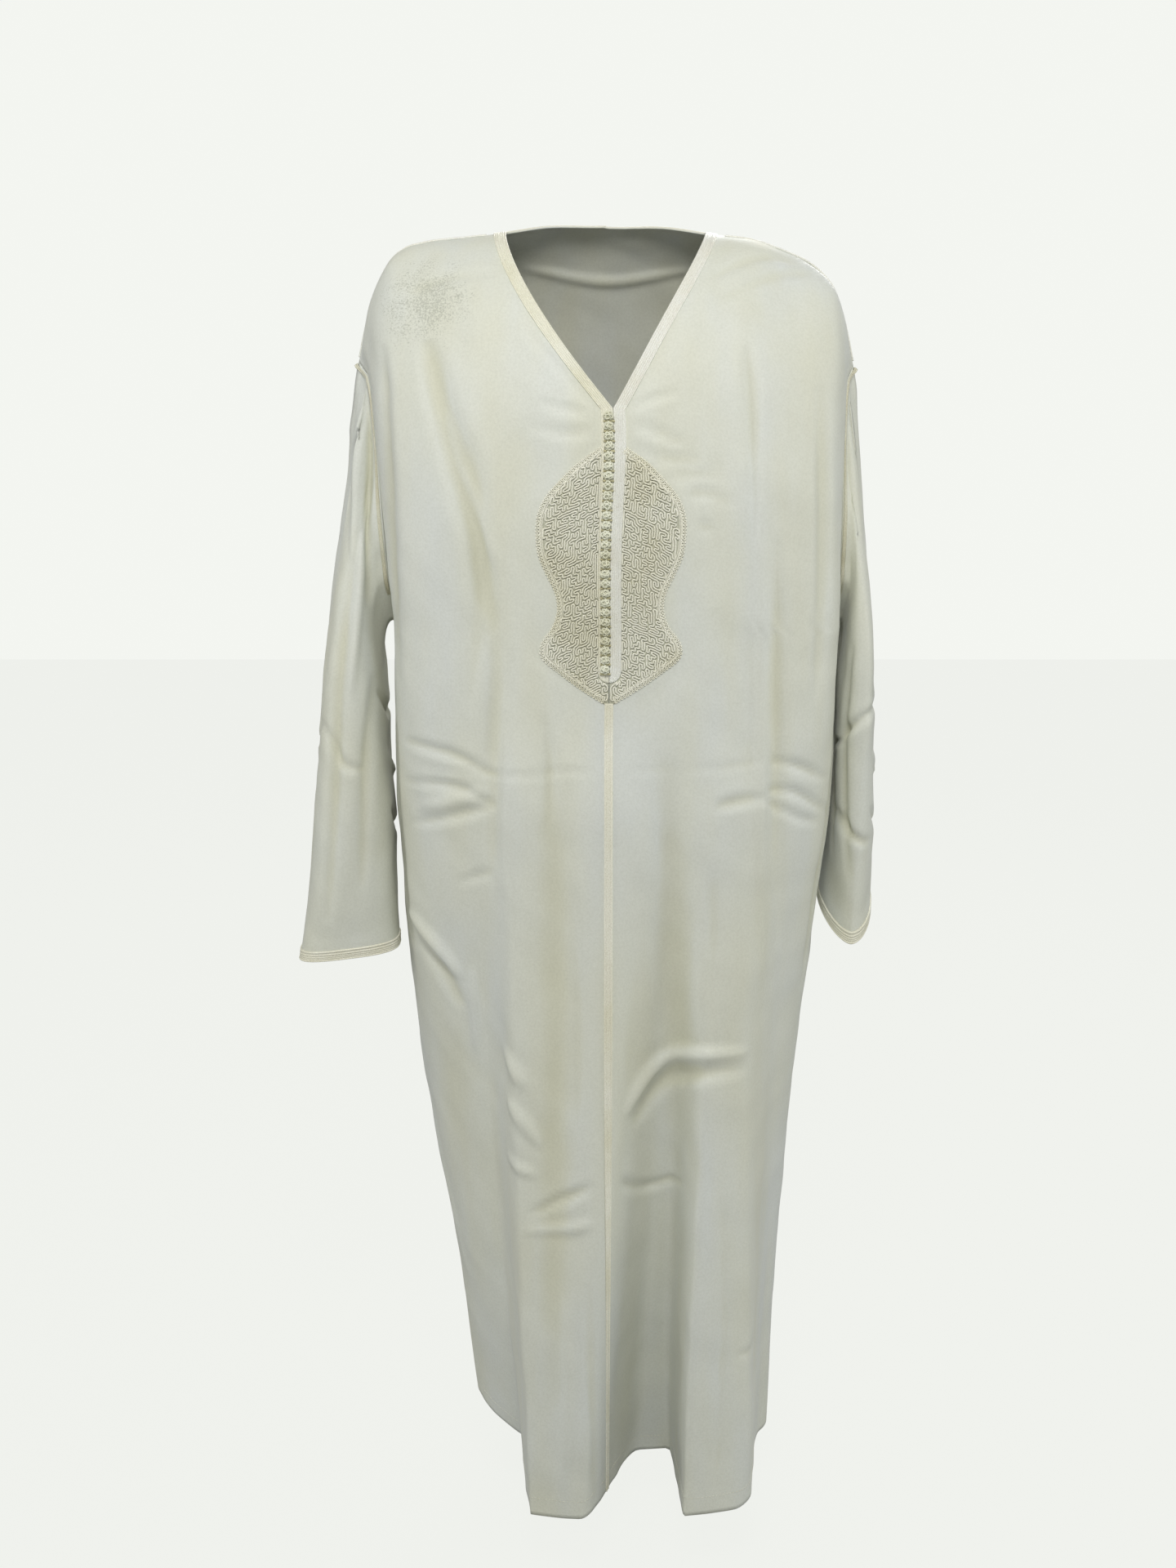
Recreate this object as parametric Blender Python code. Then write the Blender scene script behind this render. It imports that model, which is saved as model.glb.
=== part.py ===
"""A V-necked djellaba robe in its worn, hollow form, built from the pieces a tailor cuts and sews.

The frame has its origin between the shoulders, at the height of the shoulder seam beside the neck.
+Z is up, the front faces -Y, and "left" and "right" are those of someone who looks at the front.
"""
from collections import namedtuple
import math

import bmesh
import bpy
import numpy as np

# Driving sizes, in metres
CLOTH = 0.0013
SEAM_GAP = 0.0003
LIFT = 0.0005
BRAID = 0.0011
BRAID_WIDTH = 0.012
BRAID_LEAN = 1.05
CENTRE_BRAID_HALF = 0.0045
ARM_BRAID_WIDTH = 0.0065
ARM_BRAID_START = 0.4
ARM_BRAID_LIFT = 0.0008
UNDERARM_Z = -0.40
HEM_Z = -1.36
HIP_Z = -0.60
V_POINT_Z = -0.172
V_BOW_LEFT = 2.7
V_BOW_RIGHT = 2.15
NECK_HALF = 0.102
BACK_NECK_DROP = 0.10
OPENING_LEAN = 0.005
LEAN_Z = -0.20
LEAN_REACH = 0.08
SLIT_TOP_Z = -1.07
CORNER_RISE = 0.045
CORNER_START = 0.62
SLIT_HALF = 0.006

# Share of a full superellipse arc: how square the cloth stands over the chest and the shoulder blades
FRONT_ARC = 2.3
BACK_ARC = 2.6
SIDE_ARC = 3.8
SIDE_ARC_START = 0.55
SHOULDER_Y = 0.012

Section = namedtuple("Section", "z left right front back square centre")
SECTIONS = [
    Section(-0.400, 0.237, 0.257, 0.134, 0.132, 3.2, 0.003),
    Section(-0.500, 0.233, 0.251, 0.140, 0.128, 3.0, 0.002),
    Section(-0.615, 0.226, 0.244, 0.141, 0.128, 2.8, 0.002),
    Section(-0.710, 0.222, 0.234, 0.138, 0.134, 2.6, 0.002),
    Section(-0.900, 0.203, 0.215, 0.128, 0.145, 2.4, 0.002),
    Section(-1.100, 0.175, 0.201, 0.112, 0.150, 2.3, 0.002),
    Section(-1.360, 0.150, 0.194, 0.070, 0.152, 2.3, 0.002),
]

# Large folds, each a raised strip of the front or back between two edges
Fold = namedtuple("Fold", "face left_hip left_hem right_hip right_hem soft_left soft_right rise_hip rise_hem")
FOLDS = [
    Fold("front", -0.120, -0.090, 0.040, 0.006, 0.013, 0.070, 0.012, 0.134),
    Fold("front", 0.090, 0.080, 0.166, 0.172, 0.012, 0.022, 0.012, 0.132),
    Fold("back", -0.170, -0.120, -0.100, -0.060, 0.040, 0.030, 0.004, 0.045),
    Fold("back", -0.040, -0.020, 0.030, 0.045, 0.030, 0.040, 0.006, 0.060),
    Fold("back", 0.090, 0.090, 0.160, 0.150, 0.030, 0.040, 0.005, 0.050),
]

# Share of the skirt's height above the hip over which the folds appear, how their depth grows below it, and
# the width of their edges at the hip
FOLD_START = 0.16
FOLD_GROWTH = 1.5
HIP_SOFT = 0.06

# The cloth is pulled in under the arm, along the side seam
PINCH_DEPTH = 0.014
PINCH_ANGLE = 0.30
PINCH_END_Z = -0.60

# Height of the shoulder seam at distances from the middle, for each side
Shoulder = namedtuple("Shoulder", "x left right")
SHOULDER_LINE = [
    Shoulder(0.000, 0.014, 0.013),
    Shoulder(0.060, 0.011, 0.010),
    Shoulder(0.105, 0.002, 0.001),
    Shoulder(0.150, -0.003, -0.005),
    Shoulder(0.189, -0.008, -0.018),
    Shoulder(0.208, -0.014, -0.027),
    Shoulder(0.224, -0.028, -0.040),
    Shoulder(0.236, -0.051, -0.056),
    Shoulder(0.247, -0.082, -0.086),
    Shoulder(0.259, -0.128, -0.132),
]

# How far the armhole is cut into the front and the back, as a share of their width
Bite = namedtuple("Bite", "row share")
ARMHOLE = [
    Bite(0.000, 0.000),
    Bite(0.012, 0.068),
    Bite(0.042, 0.098),
    Bite(0.100, 0.114),
    Bite(0.200, 0.120),
    Bite(0.300, 0.121),
    Bite(0.440, 0.120),
    Bite(0.525, 0.100),
    Bite(0.614, 0.060),
    Bite(0.709, 0.030),
    Bite(0.800, 0.012),
    Bite(1.000, 0.000),
]

# Rows of the panels at the armhole, spread evenly round it
FRONT_ARM_ROWS = [0.40, 0.46, 0.53, 0.61, 0.73, 1.0]
UNDERARM_ROW = 0.012
BACK_ARM_ROWS = [UNDERARM_ROW, 0.045, 0.11, 0.20, 0.30, 0.38, 0.45, 0.52, 0.60, 0.70, 0.84, 1.0]

# Sections of the hanging sleeves; the outer and the front edge hang lower by their tilts
SleeveRing = namedtuple("SleeveRing", "z outer inner front back tilt_out tilt_front round")
LEFT_SLEEVE = [
    SleeveRing(-0.450, 0.303, 0.2400, -0.075, 0.080, 0.000, 0.000, 0.85),
    SleeveRing(-0.530, 0.310, 0.2360, -0.080, 0.070, 0.002, 0.000, 0.80),
    SleeveRing(-0.620, 0.319, 0.2300, -0.080, 0.050, 0.006, 0.000, 0.75),
    SleeveRing(-0.700, 0.328, 0.2285, -0.076, 0.026, 0.007, 0.000, 0.70),
    SleeveRing(-0.762, 0.336, 0.2275, -0.070, 0.000, 0.007, 0.000, 0.65),
]
RIGHT_SLEEVE = [
    SleeveRing(-0.450, 0.290, 0.2525, -0.058, 0.105, 0.000, 0.000, 0.75),
    SleeveRing(-0.530, 0.294, 0.2490, -0.055, 0.102, 0.000, 0.005, 0.82),
    SleeveRing(-0.620, 0.298, 0.2460, -0.050, 0.100, 0.001, 0.014, 0.95),
    SleeveRing(-0.680, 0.299, 0.2430, -0.045, 0.096, 0.002, 0.023, 1.10),
    SleeveRing(-0.722, 0.299, 0.2410, -0.042, 0.090, 0.003, 0.032, 1.20),
]
SLEEVE_START = 0.05
SLEEVE_END = 0.20

Outline = namedtuple("Outline", "z half")
PLASTRON = [
    Outline(-0.209, 0.0125),
    Outline(-0.222, 0.0320),
    Outline(-0.240, 0.0515),
    Outline(-0.257, 0.0670),
    Outline(-0.276, 0.0757),
    Outline(-0.296, 0.0770),
    Outline(-0.317, 0.0745),
    Outline(-0.336, 0.0665),
    Outline(-0.355, 0.0576),
    Outline(-0.372, 0.0556),
    Outline(-0.388, 0.0605),
    Outline(-0.406, 0.0725),
    Outline(-0.418, 0.0730),
    Outline(-0.439, 0.0490),
    Outline(-0.454, 0.0275),
    Outline(-0.467, 0.0060),
]
PLASTRON_COLUMNS = 4
PLASTRON_THICK = 0.0014
PLASTRON_GAP = 0.0008
PLASTRON_LIFT = 0.0007
PLACKET_END_Z = -0.445
PLACKET_TAPER = 0.012

KNOTS = 27
KNOT_TOP_Z = -0.180
KNOT_BOTTOM_Z = -0.431
KNOT_SIZE = (0.0092, 0.0064, 0.0084)
KNOT_OFFSET = -0.0047
KNOT_SEGMENTS = 8
KNOT_RINGS = 5

# Columns of the front panels that run along the edges of a fold, and how far outside the edge each one lies
Edge = namedtuple("Edge", "side column fold edge out")
FOLD_EDGES = [
    Edge(-1, 8, 0, "left", -0.5),
    Edge(-1, 9, 0, "left", 0.5),
    Edge(1, 5, 1, "left", 0.5),
    Edge(1, 6, 1, "left", -0.5),
    Edge(1, 9, 1, "right", -0.5),
    Edge(1, 10, 1, "right", 0.5),
]

# Grid densities
FRONT_COLUMNS = 12
NECK_COLUMNS = 5
YOKE_ROWS = 7
ROW_BEND = 1.5
SKIRT_STEP = 0.045
HEAD_ROWS = 7
TUBE_ROWS = 9
RING_SAMPLES = 720

# Two layers of points closer than this are one point, and a turn sharper than this is a crease
WELD = 0.000001
SHARP_ANGLE = math.radians(50)

Look = namedtuple("Look", "colour roughness")
CREPE = Look((0.80, 0.79, 0.70), 0.55)
THREAD = Look((0.83, 0.80, 0.66), 0.45)


def smooth(t):
    t = np.clip(t, 0.0, 1.0)
    return t * t * (3.0 - 2.0 * t)


def curve(rows, key, value, at):
    """A smooth curve through one column of a table, read at another column's value."""
    xs = np.array([getattr(r, key) for r in rows])
    ys = np.array([getattr(r, value) for r in rows])
    order = np.argsort(xs)
    xs, ys = xs[order], ys[order]
    slopes = np.gradient(ys, xs)
    at = np.clip(at, xs[0], xs[-1])
    i = np.clip(np.searchsorted(xs, at) - 1, 0, len(xs) - 2)
    h = xs[i + 1] - xs[i]
    t = (at - xs[i]) / h
    return (
        (2 * t**3 - 3 * t**2 + 1) * ys[i]
        + (t**3 - 2 * t**2 + t) * h * slopes[i]
        + (3 * t**2 - 2 * t**3) * ys[i + 1]
        + (t**3 - t**2) * h * slopes[i + 1]
    )


def fold_edge(fold, edge, z):
    """Where an edge of a fold lies at one height, and over what width it bends."""
    t = float(np.clip((HIP_Z - z) / (HIP_Z - HEM_Z), 0.0, 1.0))
    get = lambda place: getattr(fold, f"{edge}_{place}")
    soft = HIP_SOFT + (getattr(fold, f"soft_{edge}") - HIP_SOFT) * t
    return get("hip") + (get("hem") - get("hip")) * t, soft


def fold_height(fold, x, z):
    """How far one fold stands out of the front or back at a point, in metres."""
    down = (HIP_Z - z) / (HIP_Z - HEM_Z)
    left, soft_left = fold_edge(fold, "left", z)
    right, soft_right = fold_edge(fold, "right", z)
    rise = fold.rise_hip + (fold.rise_hem - fold.rise_hip) * float(np.clip(down, 0.0, 1.0)) ** FOLD_GROWTH
    rise *= float(smooth(1.0 + down / FOLD_START))
    return rise * smooth(0.5 + (x - left) / soft_left) * smooth(0.5 + (right - x) / soft_right)


def ring(z):
    """The body's section at one height: points from the back centre round the left, the front and the right."""
    angle = np.linspace(-math.pi, math.pi, RING_SAMPLES + 1)
    across, along = np.sin(angle), np.cos(angle)
    get = lambda column: curve(SECTIONS, "z", column, z)
    centre = get("centre")
    half = np.where(across < 0, get("left") + centre, get("right") - centre)
    depth = np.where(along > 0, get("front"), get("back"))
    n = get("square")
    r = (np.abs(across / half) ** n + np.abs(along / depth) ** n) ** (-1.0 / n)
    pinch = PINCH_DEPTH * smooth((z - PINCH_END_Z) / (UNDERARM_Z - PINCH_END_Z))
    r = r - pinch * np.exp(-((np.abs(np.abs(angle) - math.pi / 2) / PINCH_ANGLE) ** 2))
    x, y = centre + r * across, -r * along
    for fold in FOLDS:
        facing = smooth(along / 0.35) if fold.face == "front" else -smooth(-along / 0.35)
        y = y - facing * fold_height(fold, x, z)
    return np.column_stack([x, y])


RING_CACHE = {}


def ring_by_length(z):
    """A ring with a length coordinate: -2 and 2 at the back centre, -1 and 1 at the side seams, 0 in front."""
    key = round(float(z), 6)
    if key not in RING_CACHE:
        points = ring(z)
        steps = np.concatenate([[0.0], np.cumsum(np.linalg.norm(np.diff(points, axis=0), axis=1))])
        quarter = RING_SAMPLES // 4
        marks = steps[[0, quarter, 2 * quarter, 3 * quarter, 4 * quarter]]
        RING_CACHE[key] = (points, steps, marks)
    return RING_CACHE[key]


def ring_point(z, g):
    """The point of the section at height z with length coordinate g, which wraps round at the back centre."""
    points, steps, marks = ring_by_length(z)
    g = (g + 2.0) % 4.0 - 2.0
    length = np.interp(g, [-2, -1, 0, 1, 2], marks)
    return np.array([np.interp(length, steps, points[:, k]) for k in (0, 1)])


def shoulder_point(a):
    """A point of the shoulder seam, from the neck centre at 0 to the armhole at 1 or -1."""
    fine_x = np.linspace(0, SHOULDER_LINE[-1].x, 121)
    fine_z = curve(SHOULDER_LINE, "x", "left" if a < 0 else "right", fine_x)
    steps = np.concatenate([[0.0], np.cumsum(np.hypot(np.diff(fine_x), np.diff(fine_z)))])
    length = min(abs(a), 1.0) * steps[-1]
    beyond = (abs(a) - min(abs(a), 1.0)) * steps[-1]
    return (
        math.copysign(np.interp(length, steps, fine_x) + 0.25 * beyond, a),
        np.interp(length, steps, fine_z) - 0.97 * beyond,
    )


def lean(face, a, z):
    """How far the front opening leans to the right under the neck."""
    return OPENING_LEAN * (face < 0) * math.exp(-(((z - LEAN_Z) / LEAN_REACH) ** 2) - (a / 0.4) ** 2)


def body(face, a, v):
    """A point of the robe's body. face is -1 in front and 1 behind; a runs from the left side at -1 to the
    right at 1; v is -1 at the hem, 0 at the underarm and 1 on the shoulder seam."""
    if v > 1.0:
        face, v = -face, 2.0 - v
    if abs(a) > 1.0:
        face, a = -face, math.copysign(2.0 - abs(a), a)
    if v <= 0.0:
        z = UNDERARM_Z + v * (UNDERARM_Z - HEM_Z)
        x, y = ring_point(z, a if face < 0 else 2.0 - a)
        z += CORNER_RISE * v**4 * float(smooth((-a - CORNER_START) / (1.0 - CORNER_START)))
        return np.array([x + lean(face, a, z), y, z])
    x0, y0 = ring_point(UNDERARM_Z, a if face < 0 else 2.0 - a)
    xs, zs = shoulder_point(a)
    middle = FRONT_ARC if face < 0 else BACK_ARC
    sideways = float(smooth((abs(a) - SIDE_ARC_START) / (1.0 - SIDE_ARC_START)))
    power = 2.0 / (middle + (SIDE_ARC - middle) * sideways)
    up = math.sin(v * math.pi / 2) ** power
    out = max(math.cos(v * math.pi / 2), 0.0) ** power
    ys = SHOULDER_Y * (1.0 - a**2)
    z = UNDERARM_Z + (zs - UNDERARM_Z) * up
    return np.array([x0 + (xs - x0) * up + lean(face, a, z), ys + (y0 - ys) * out, z])


def outward(face, a, v):
    """The outward normal of the body at a point."""
    da, dv = 0.008, 0.006
    low = max(v - dv, -1.0)
    across = body(face, a + da, v) - body(face, a - da, v)
    along = body(face, a, v + dv) - body(face, a, low)
    normal = np.cross(across, along) * (1.0 if face < 0 else -1.0)
    return normal / np.linalg.norm(normal)


def length_across(face, v):
    """The cloth's length from the centre to the side at one height."""
    points = np.array([body(face, a, v) for a in np.linspace(0.0, 1.0, 25)])
    return np.linalg.norm(np.diff(points, axis=0), axis=1).sum()


def row_at(z):
    """The row coordinate on the front centre at a height."""
    if z <= UNDERARM_Z:
        return (z - UNDERARM_Z) / (UNDERARM_Z - HEM_Z)
    rows = np.linspace(0.0, 1.0, 201)
    return float(np.interp(z, [body(-1, 0.0, v)[2] for v in rows], rows))


def neck_share():
    """The shoulder seam's coordinate at the side of the neck."""
    shares = np.linspace(0.0, 1.0, 101)
    return float(np.interp(NECK_HALF, [shoulder_point(s)[0] for s in shares], shares))


V_POINT = row_at(V_POINT_Z)
NECK = neck_share()


def neck_a(side, v):
    """Where the V neckline crosses a row of the yoke."""
    t = np.clip((v - V_POINT) / (1.0 - V_POINT), 0.0, 1.0)
    return NECK * (1.0 - (1.0 - t) ** (V_BOW_LEFT if side < 0 else V_BOW_RIGHT))


def side_a(v, span):
    """The outer edge of the front and the back: the armhole above the underarm, the side seam below, and the
    slit near the hem."""
    z = UNDERARM_Z + min(v, 0.0) * (UNDERARM_Z - HEM_Z)
    half_gap = 0.5 * SEAM_GAP + SLIT_HALF * float(smooth((SLIT_TOP_Z - z) / (SLIT_TOP_Z - HEM_Z)))
    armhole = 1.0 - float(curve(ARMHOLE, "row", "share", max(v, 0.0)))
    return min(armhole, 1.0 - half_gap / span)


def skirt_rows():
    """Rows from the hem up to the underarm, closer together behind the end of the plastron."""
    low = np.arange(HEM_Z, PLASTRON[-1].z - 0.02, SKIRT_STEP)
    heights = list(low) + [PLASTRON[-1].z - 0.004, -0.447, -0.424, UNDERARM_Z]
    return [row_at(z) for z in heights]


def front_yoke_rows():
    """Rows of a front above the underarm, each with its place at the opening or neck and at the armhole."""
    lower = [UNDERARM_ROW] + list(np.linspace(0.0, V_POINT, YOKE_ROWS + 1)[1:])
    upper = V_POINT + (1.0 - V_POINT) * np.linspace(0.0, 1.0, len(FRONT_ARM_ROWS) + 1)[1:]
    return [(v, v) for v in lower] + list(zip(upper, FRONT_ARM_ROWS))


def back_yoke_rows():
    """Rows of the back above the underarm; the last but one lies a braid's width below the neck."""
    inner = np.linspace(0.0, 1.0, len(BACK_ARM_ROWS) - 1)[1:-1]
    return list(zip([UNDERARM_ROW] + list(inner) + [0.955, 1.0], BACK_ARM_ROWS))


def panel_point(face, a, v):
    """A point of the front or the back, half a seam gap away from the shoulder seam."""
    return body(face, a, v) + np.array([0.0, 0.5 * SEAM_GAP * face * (v > 0.999), 0.0])


def panel_normal(face, a, v):
    """The outward normal, with the same value on both sides of a seam."""
    if abs(v) > 0.99:
        normal = outward(face, a, 1.0 if v > 0 else v)
        return normal * (1, 0, 1) / np.linalg.norm(normal * (1, 0, 1)) if v > 0 else normal
    if v <= 0 and abs(a) > 0.95:
        return outward(-1, math.copysign(1.0, a), v)
    return outward(face, a, v)


def front_shares(side, v, v_arm):
    """Columns of a front panel from the opening or the neck to the side, the first of them a braid wide."""
    span = length_across(-1, v)
    inner = neck_a(side, v) + 0.5 * SEAM_GAP / span
    first = inner + BRAID_WIDTH * (BRAID_LEAN if v > V_POINT else 1.0) / span
    outer = side_a(v_arm, length_across(-1, v_arm))
    even = np.concatenate([[inner], first + (outer - first) * np.linspace(0, 1, FRONT_COLUMNS)])
    z = UNDERARM_Z + v * (UNDERARM_Z - HEM_Z)
    pull = float(smooth((UNDERARM_Z - z) / (UNDERARM_Z - HIP_Z)))
    if pull <= 0.0:
        return even
    fine = np.linspace(0.0, 1.0, 201)
    across = [body(-1, side * a, v)[0] for a in fine]
    stops = {0: inner, 1: first, FRONT_COLUMNS: outer}
    for edge in FOLD_EDGES:
        if edge.side == side:
            x, soft = fold_edge(FOLDS[edge.fold], edge.edge, z)
            x += soft * edge.out * (1 if edge.edge == "right" else -1)
            order = np.argsort(across)
            stops[edge.column] = float(np.interp(x, np.array(across)[order], fine[order]))
    along = np.interp(np.arange(FRONT_COLUMNS + 1), sorted(stops), [stops[k] for k in sorted(stops)])
    return even * (1.0 - pull) + along * pull


def front_grid(side):
    """Points and normals of one front panel, side -1 left or 1 right, as rows of columns."""
    points, normals = [], []
    for v, v_arm in [(v, v) for v in skirt_rows()] + front_yoke_rows():
        columns = side * front_shares(side, v, v_arm)
        rows = v + (v_arm - v) * np.linspace(0.0, 1.0, len(columns)) ** ROW_BEND
        points.append([panel_point(-1, a, w) for a, w in zip(columns, rows)])
        normals.append([panel_normal(-1, a, w) for a, w in zip(columns, rows)])
    return np.array(points), np.array(normals)


def back_grid():
    """Points and normals of the back panel, with the neck cut out of its top rows."""
    seam = front_shares(1, 1.0, 1.0)
    inner = np.linspace(-seam[0], seam[0], NECK_COLUMNS + 1)[1:-1]
    shares = np.concatenate([-seam[::-1], inner, seam]) / seam[-1]
    points, normals = [], []
    for v, v_arm in [(v, v) for v in skirt_rows()] + back_yoke_rows():
        columns = shares * side_a(v_arm, length_across(1, v_arm))
        rows = v + (v_arm - v) * np.abs(shares) ** ROW_BEND
        dip = BACK_NECK_DROP * max(0.0, v) * np.clip(1.0 - (columns / NECK) ** 2, 0.0, 1.0)
        rows = np.where(rows > 0, rows * (1.0 - dip), rows)
        points.append([panel_point(1, a, w) for a, w in zip(columns, rows)])
        normals.append([panel_normal(1, a, w) for a, w in zip(columns, rows)])
    return np.array(points), np.array(normals)


def armhole_loop(side):
    """The armhole's points at the rows of the panels, from the top round the front, underarm and back, with
    the share of the way round and the directions in which the sleeve leaves them."""
    front = [v_arm for _, v_arm in front_yoke_rows()[-2::-1]]
    stops = [(-1, 1.0)] + [(-1, v) for v in front] + [(-1, 0.0)] + [(1, v) for _, v in back_yoke_rows()[:-1]]
    points, normals = [], []
    for face, v in stops:
        a = side * side_a(v, length_across(face, v))
        points.append(body(face, a, v))
        normals.append(panel_normal(face, a, v))
    points, normals = np.array(points), np.array(normals)
    around = np.roll(points, -1, axis=0) - np.roll(points, 1, axis=0)
    leave = np.cross(normals, around) * side
    leave /= np.linalg.norm(leave, axis=1)[:, None]
    low = np.array([float(smooth(1.0 - v / 0.3)) for _, v in stops])[:, None]
    leave = leave * (1.0 - low) + normals * low
    leave[:, 1] *= [1.0 - float(smooth((v - 0.40) / 0.22)) for _, v in stops]
    leave /= np.linalg.norm(leave, axis=1)[:, None]
    steps = np.concatenate([[0.0], np.cumsum(np.linalg.norm(np.diff(points, axis=0), axis=1))])
    total = steps[-1] + np.linalg.norm(points[0] - points[-1])
    under = len(front) + 1
    share = np.where(
        np.arange(len(stops)) <= under,
        0.5 * steps / steps[under],
        0.5 + 0.5 * (steps - steps[under]) / (total - steps[under]),
    )
    return points, leave, share


def sleeve_ring(rings, side, z, share):
    """A section of the sleeve, in the armhole's order: outer, front, inner, back."""
    get = lambda column: float(curve(rings, "z", column, z))
    outer, inner, front, back = get("outer"), get("inner"), get("front"), get("back")
    turn = 2 * math.pi * share
    across = np.sign(np.cos(turn)) * np.abs(np.cos(turn)) ** get("round")
    along = np.sign(np.sin(turn)) * np.abs(np.sin(turn)) ** get("round")
    x = (outer + inner) / 2 + (outer - inner) / 2 * across
    y = (front + back) / 2 + (front - back) / 2 * along
    return np.column_stack([side * x, y, z - get("tilt_out") * across - get("tilt_front") * along])


def sleeve_grid(side):
    """Rows of a sleeve from the armhole to the cuff, each a closed loop."""
    rings = LEFT_SLEEVE if side < 0 else RIGHT_SLEEVE
    edge, leave, share = armhole_loop(side)
    start = edge + ARM_BRAID_WIDTH * leave
    top, cuff = rings[0].z, rings[-1].z
    first = sleeve_ring(rings, side, top, share)
    drop = sleeve_ring(rings, side, top - 0.02, share) - first
    drop = drop / np.linalg.norm(drop, axis=1)[:, None]
    reach = np.linalg.norm(first - start, axis=1)[:, None]
    pull_start = np.minimum(SLEEVE_START, 0.6 * reach)
    pull_end = np.minimum(SLEEVE_END, 0.8 * reach)
    rows = [edge + SEAM_GAP * leave]
    for t in np.linspace(0.0, 1.0, HEAD_ROWS + 1):
        rows.append(
            (2 * t**3 - 3 * t**2 + 1) * start
            + (t**3 - 2 * t**2 + t) * pull_start * leave
            + (3 * t**2 - 2 * t**3) * first
            + (t**3 - t**2) * pull_end * drop
        )
    heights = list(np.linspace(top, cuff + BRAID_WIDTH, TUBE_ROWS)[1:]) + [cuff]
    rows += [sleeve_ring(rings, side, z, share) for z in heights]
    return np.array(rows)


def loop_normals(rows, side):
    """Outward normals of a grid whose rows are closed loops, from the steps of unit length beside them."""
    ahead, behind = np.roll(rows, -1, axis=1) - rows, rows - np.roll(rows, 1, axis=1)
    unit = lambda table: table / np.linalg.norm(table, axis=2)[:, :, None]
    steps = np.diff(rows, axis=0)
    down = np.concatenate([unit(steps), unit(steps)[-1:]])
    down[1:-1] = unit(steps)[:-1] + unit(steps)[1:]
    normals = np.cross(unit(ahead) + unit(behind), down) * side
    return unit(normals)


def wall(name, outer, normals, thickness, look, closed=False):
    """A closed wall between a grid of points and the same points moved along their normals: inwards for a
    positive thickness and outwards for a negative one. The rows are loops where closed is true.

    Solidify would give each panel its own thickness direction at a seam, so the second layer is moved along
    normals that both panels share, and the two layers are bridged round their rims."""
    mesh = bmesh.new()
    first_row = []
    for layer in (outer, outer - normals * thickness):
        if closed:
            layer = np.concatenate([layer, layer[:, :1]], axis=1)
        rows, columns = layer.shape[:2]
        grid = bmesh.ops.create_grid(mesh, x_segments=columns - 1, y_segments=rows - 1, size=1.0)
        for vertex, point in zip(grid["verts"], layer.reshape(-1, 3)):
            vertex.co = point
        first_row += grid["verts"][:columns]
    bmesh.ops.remove_doubles(mesh, verts=mesh.verts, dist=WELD)
    rims = [[edge for edge in mesh.edges if edge.is_boundary]]
    if closed:
        top = {vertex for vertex in first_row if vertex.is_valid}
        rims = [
            [edge for edge in rims[0] if top.issuperset(edge.verts)],
            [edge for edge in rims[0] if top.isdisjoint(edge.verts)],
        ]
    for rim in rims:
        bmesh.ops.bridge_loops(mesh, edges=rim)
    bmesh.ops.recalc_face_normals(mesh, faces=mesh.faces)
    return finish(name, mesh, look)


def finish(name, mesh, look):
    """A named object of the robe, shaded smooth, with its own material."""
    data = bpy.data.meshes.new(name)
    mesh.to_mesh(data)
    mesh.free()
    data.shade_smooth()
    data.set_sharp_from_angle(angle=SHARP_ANGLE)
    data.materials.append(fabric(name, look))
    made = bpy.data.objects.new(name, data)
    ROBE.objects.link(made)
    return made


def raised(name, points, normals, lift, thickness, look, closed=False):
    """A flat trim laid on the cloth: its grid is moved out by the lift and grows outwards."""
    return wall(name, points + normals * lift, normals, -thickness, look, closed)


def at_height(grid, normals, z):
    """The first two columns of a front panel at any height, between its rows."""
    heights = grid[:, 0, 2]
    i = int(np.clip(np.searchsorted(heights, z) - 1, 0, len(heights) - 2))
    t = (z - heights[i]) / (heights[i + 1] - heights[i])
    mix = lambda table: table[i, :2] * (1 - t) + table[i + 1, :2] * t
    return mix(grid), mix(normals)


def placket_width(z):
    """The width of the braid beside the opening, which closes in a rounded end."""
    t = np.clip((z - PLACKET_END_Z) / PLACKET_TAPER, 0.03, 1.0)
    return BRAID_WIDTH * math.sqrt(t * (2.0 - t))


def opening_braid(name, grid, normals, look):
    """The braid along the neck edge and down beside the opening."""
    heights = [PLACKET_END_Z, PLACKET_END_Z + 0.15 * PLACKET_TAPER, PLACKET_END_Z + 0.5 * PLACKET_TAPER]
    heights.append(PLACKET_END_Z + PLACKET_TAPER)
    heights += [z for z in grid[:, 0, 2] if z > heights[-1] + 0.004]
    points, out = [], []
    for z in heights:
        pair, pair_n = at_height(grid, normals, z)
        share = placket_width(z) / BRAID_WIDTH
        points.append([pair[0], pair[0] * (1 - share) + pair[1] * share])
        out.append(pair_n)
    return raised(name, np.array(points), np.array(out), LIFT, BRAID, look)


def centre_braid(name, grids, look):
    """The narrow braid that covers the seam of the two fronts under the plastron."""
    points, out = [], []
    (left, left_n), (right, right_n) = grids[-1], grids[1]
    share = CENTRE_BRAID_HALF / BRAID_WIDTH
    for r in range(len(left)):
        if left[r, 0, 2] > PLASTRON[-1].z:
            break
        middle = (left[r, 0] + right[r, 0]) / 2
        up = (left_n[r, 0] + right_n[r, 0]) / 2
        points.append([
            left[r, 0] * (1 - share) + left[r, 1] * share,
            middle,
            right[r, 0] * (1 - share) + right[r, 1] * share,
        ])
        out.append([up, up, up])
    return raised(name, np.array(points), np.array(out), LIFT, BRAID, look)


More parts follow.
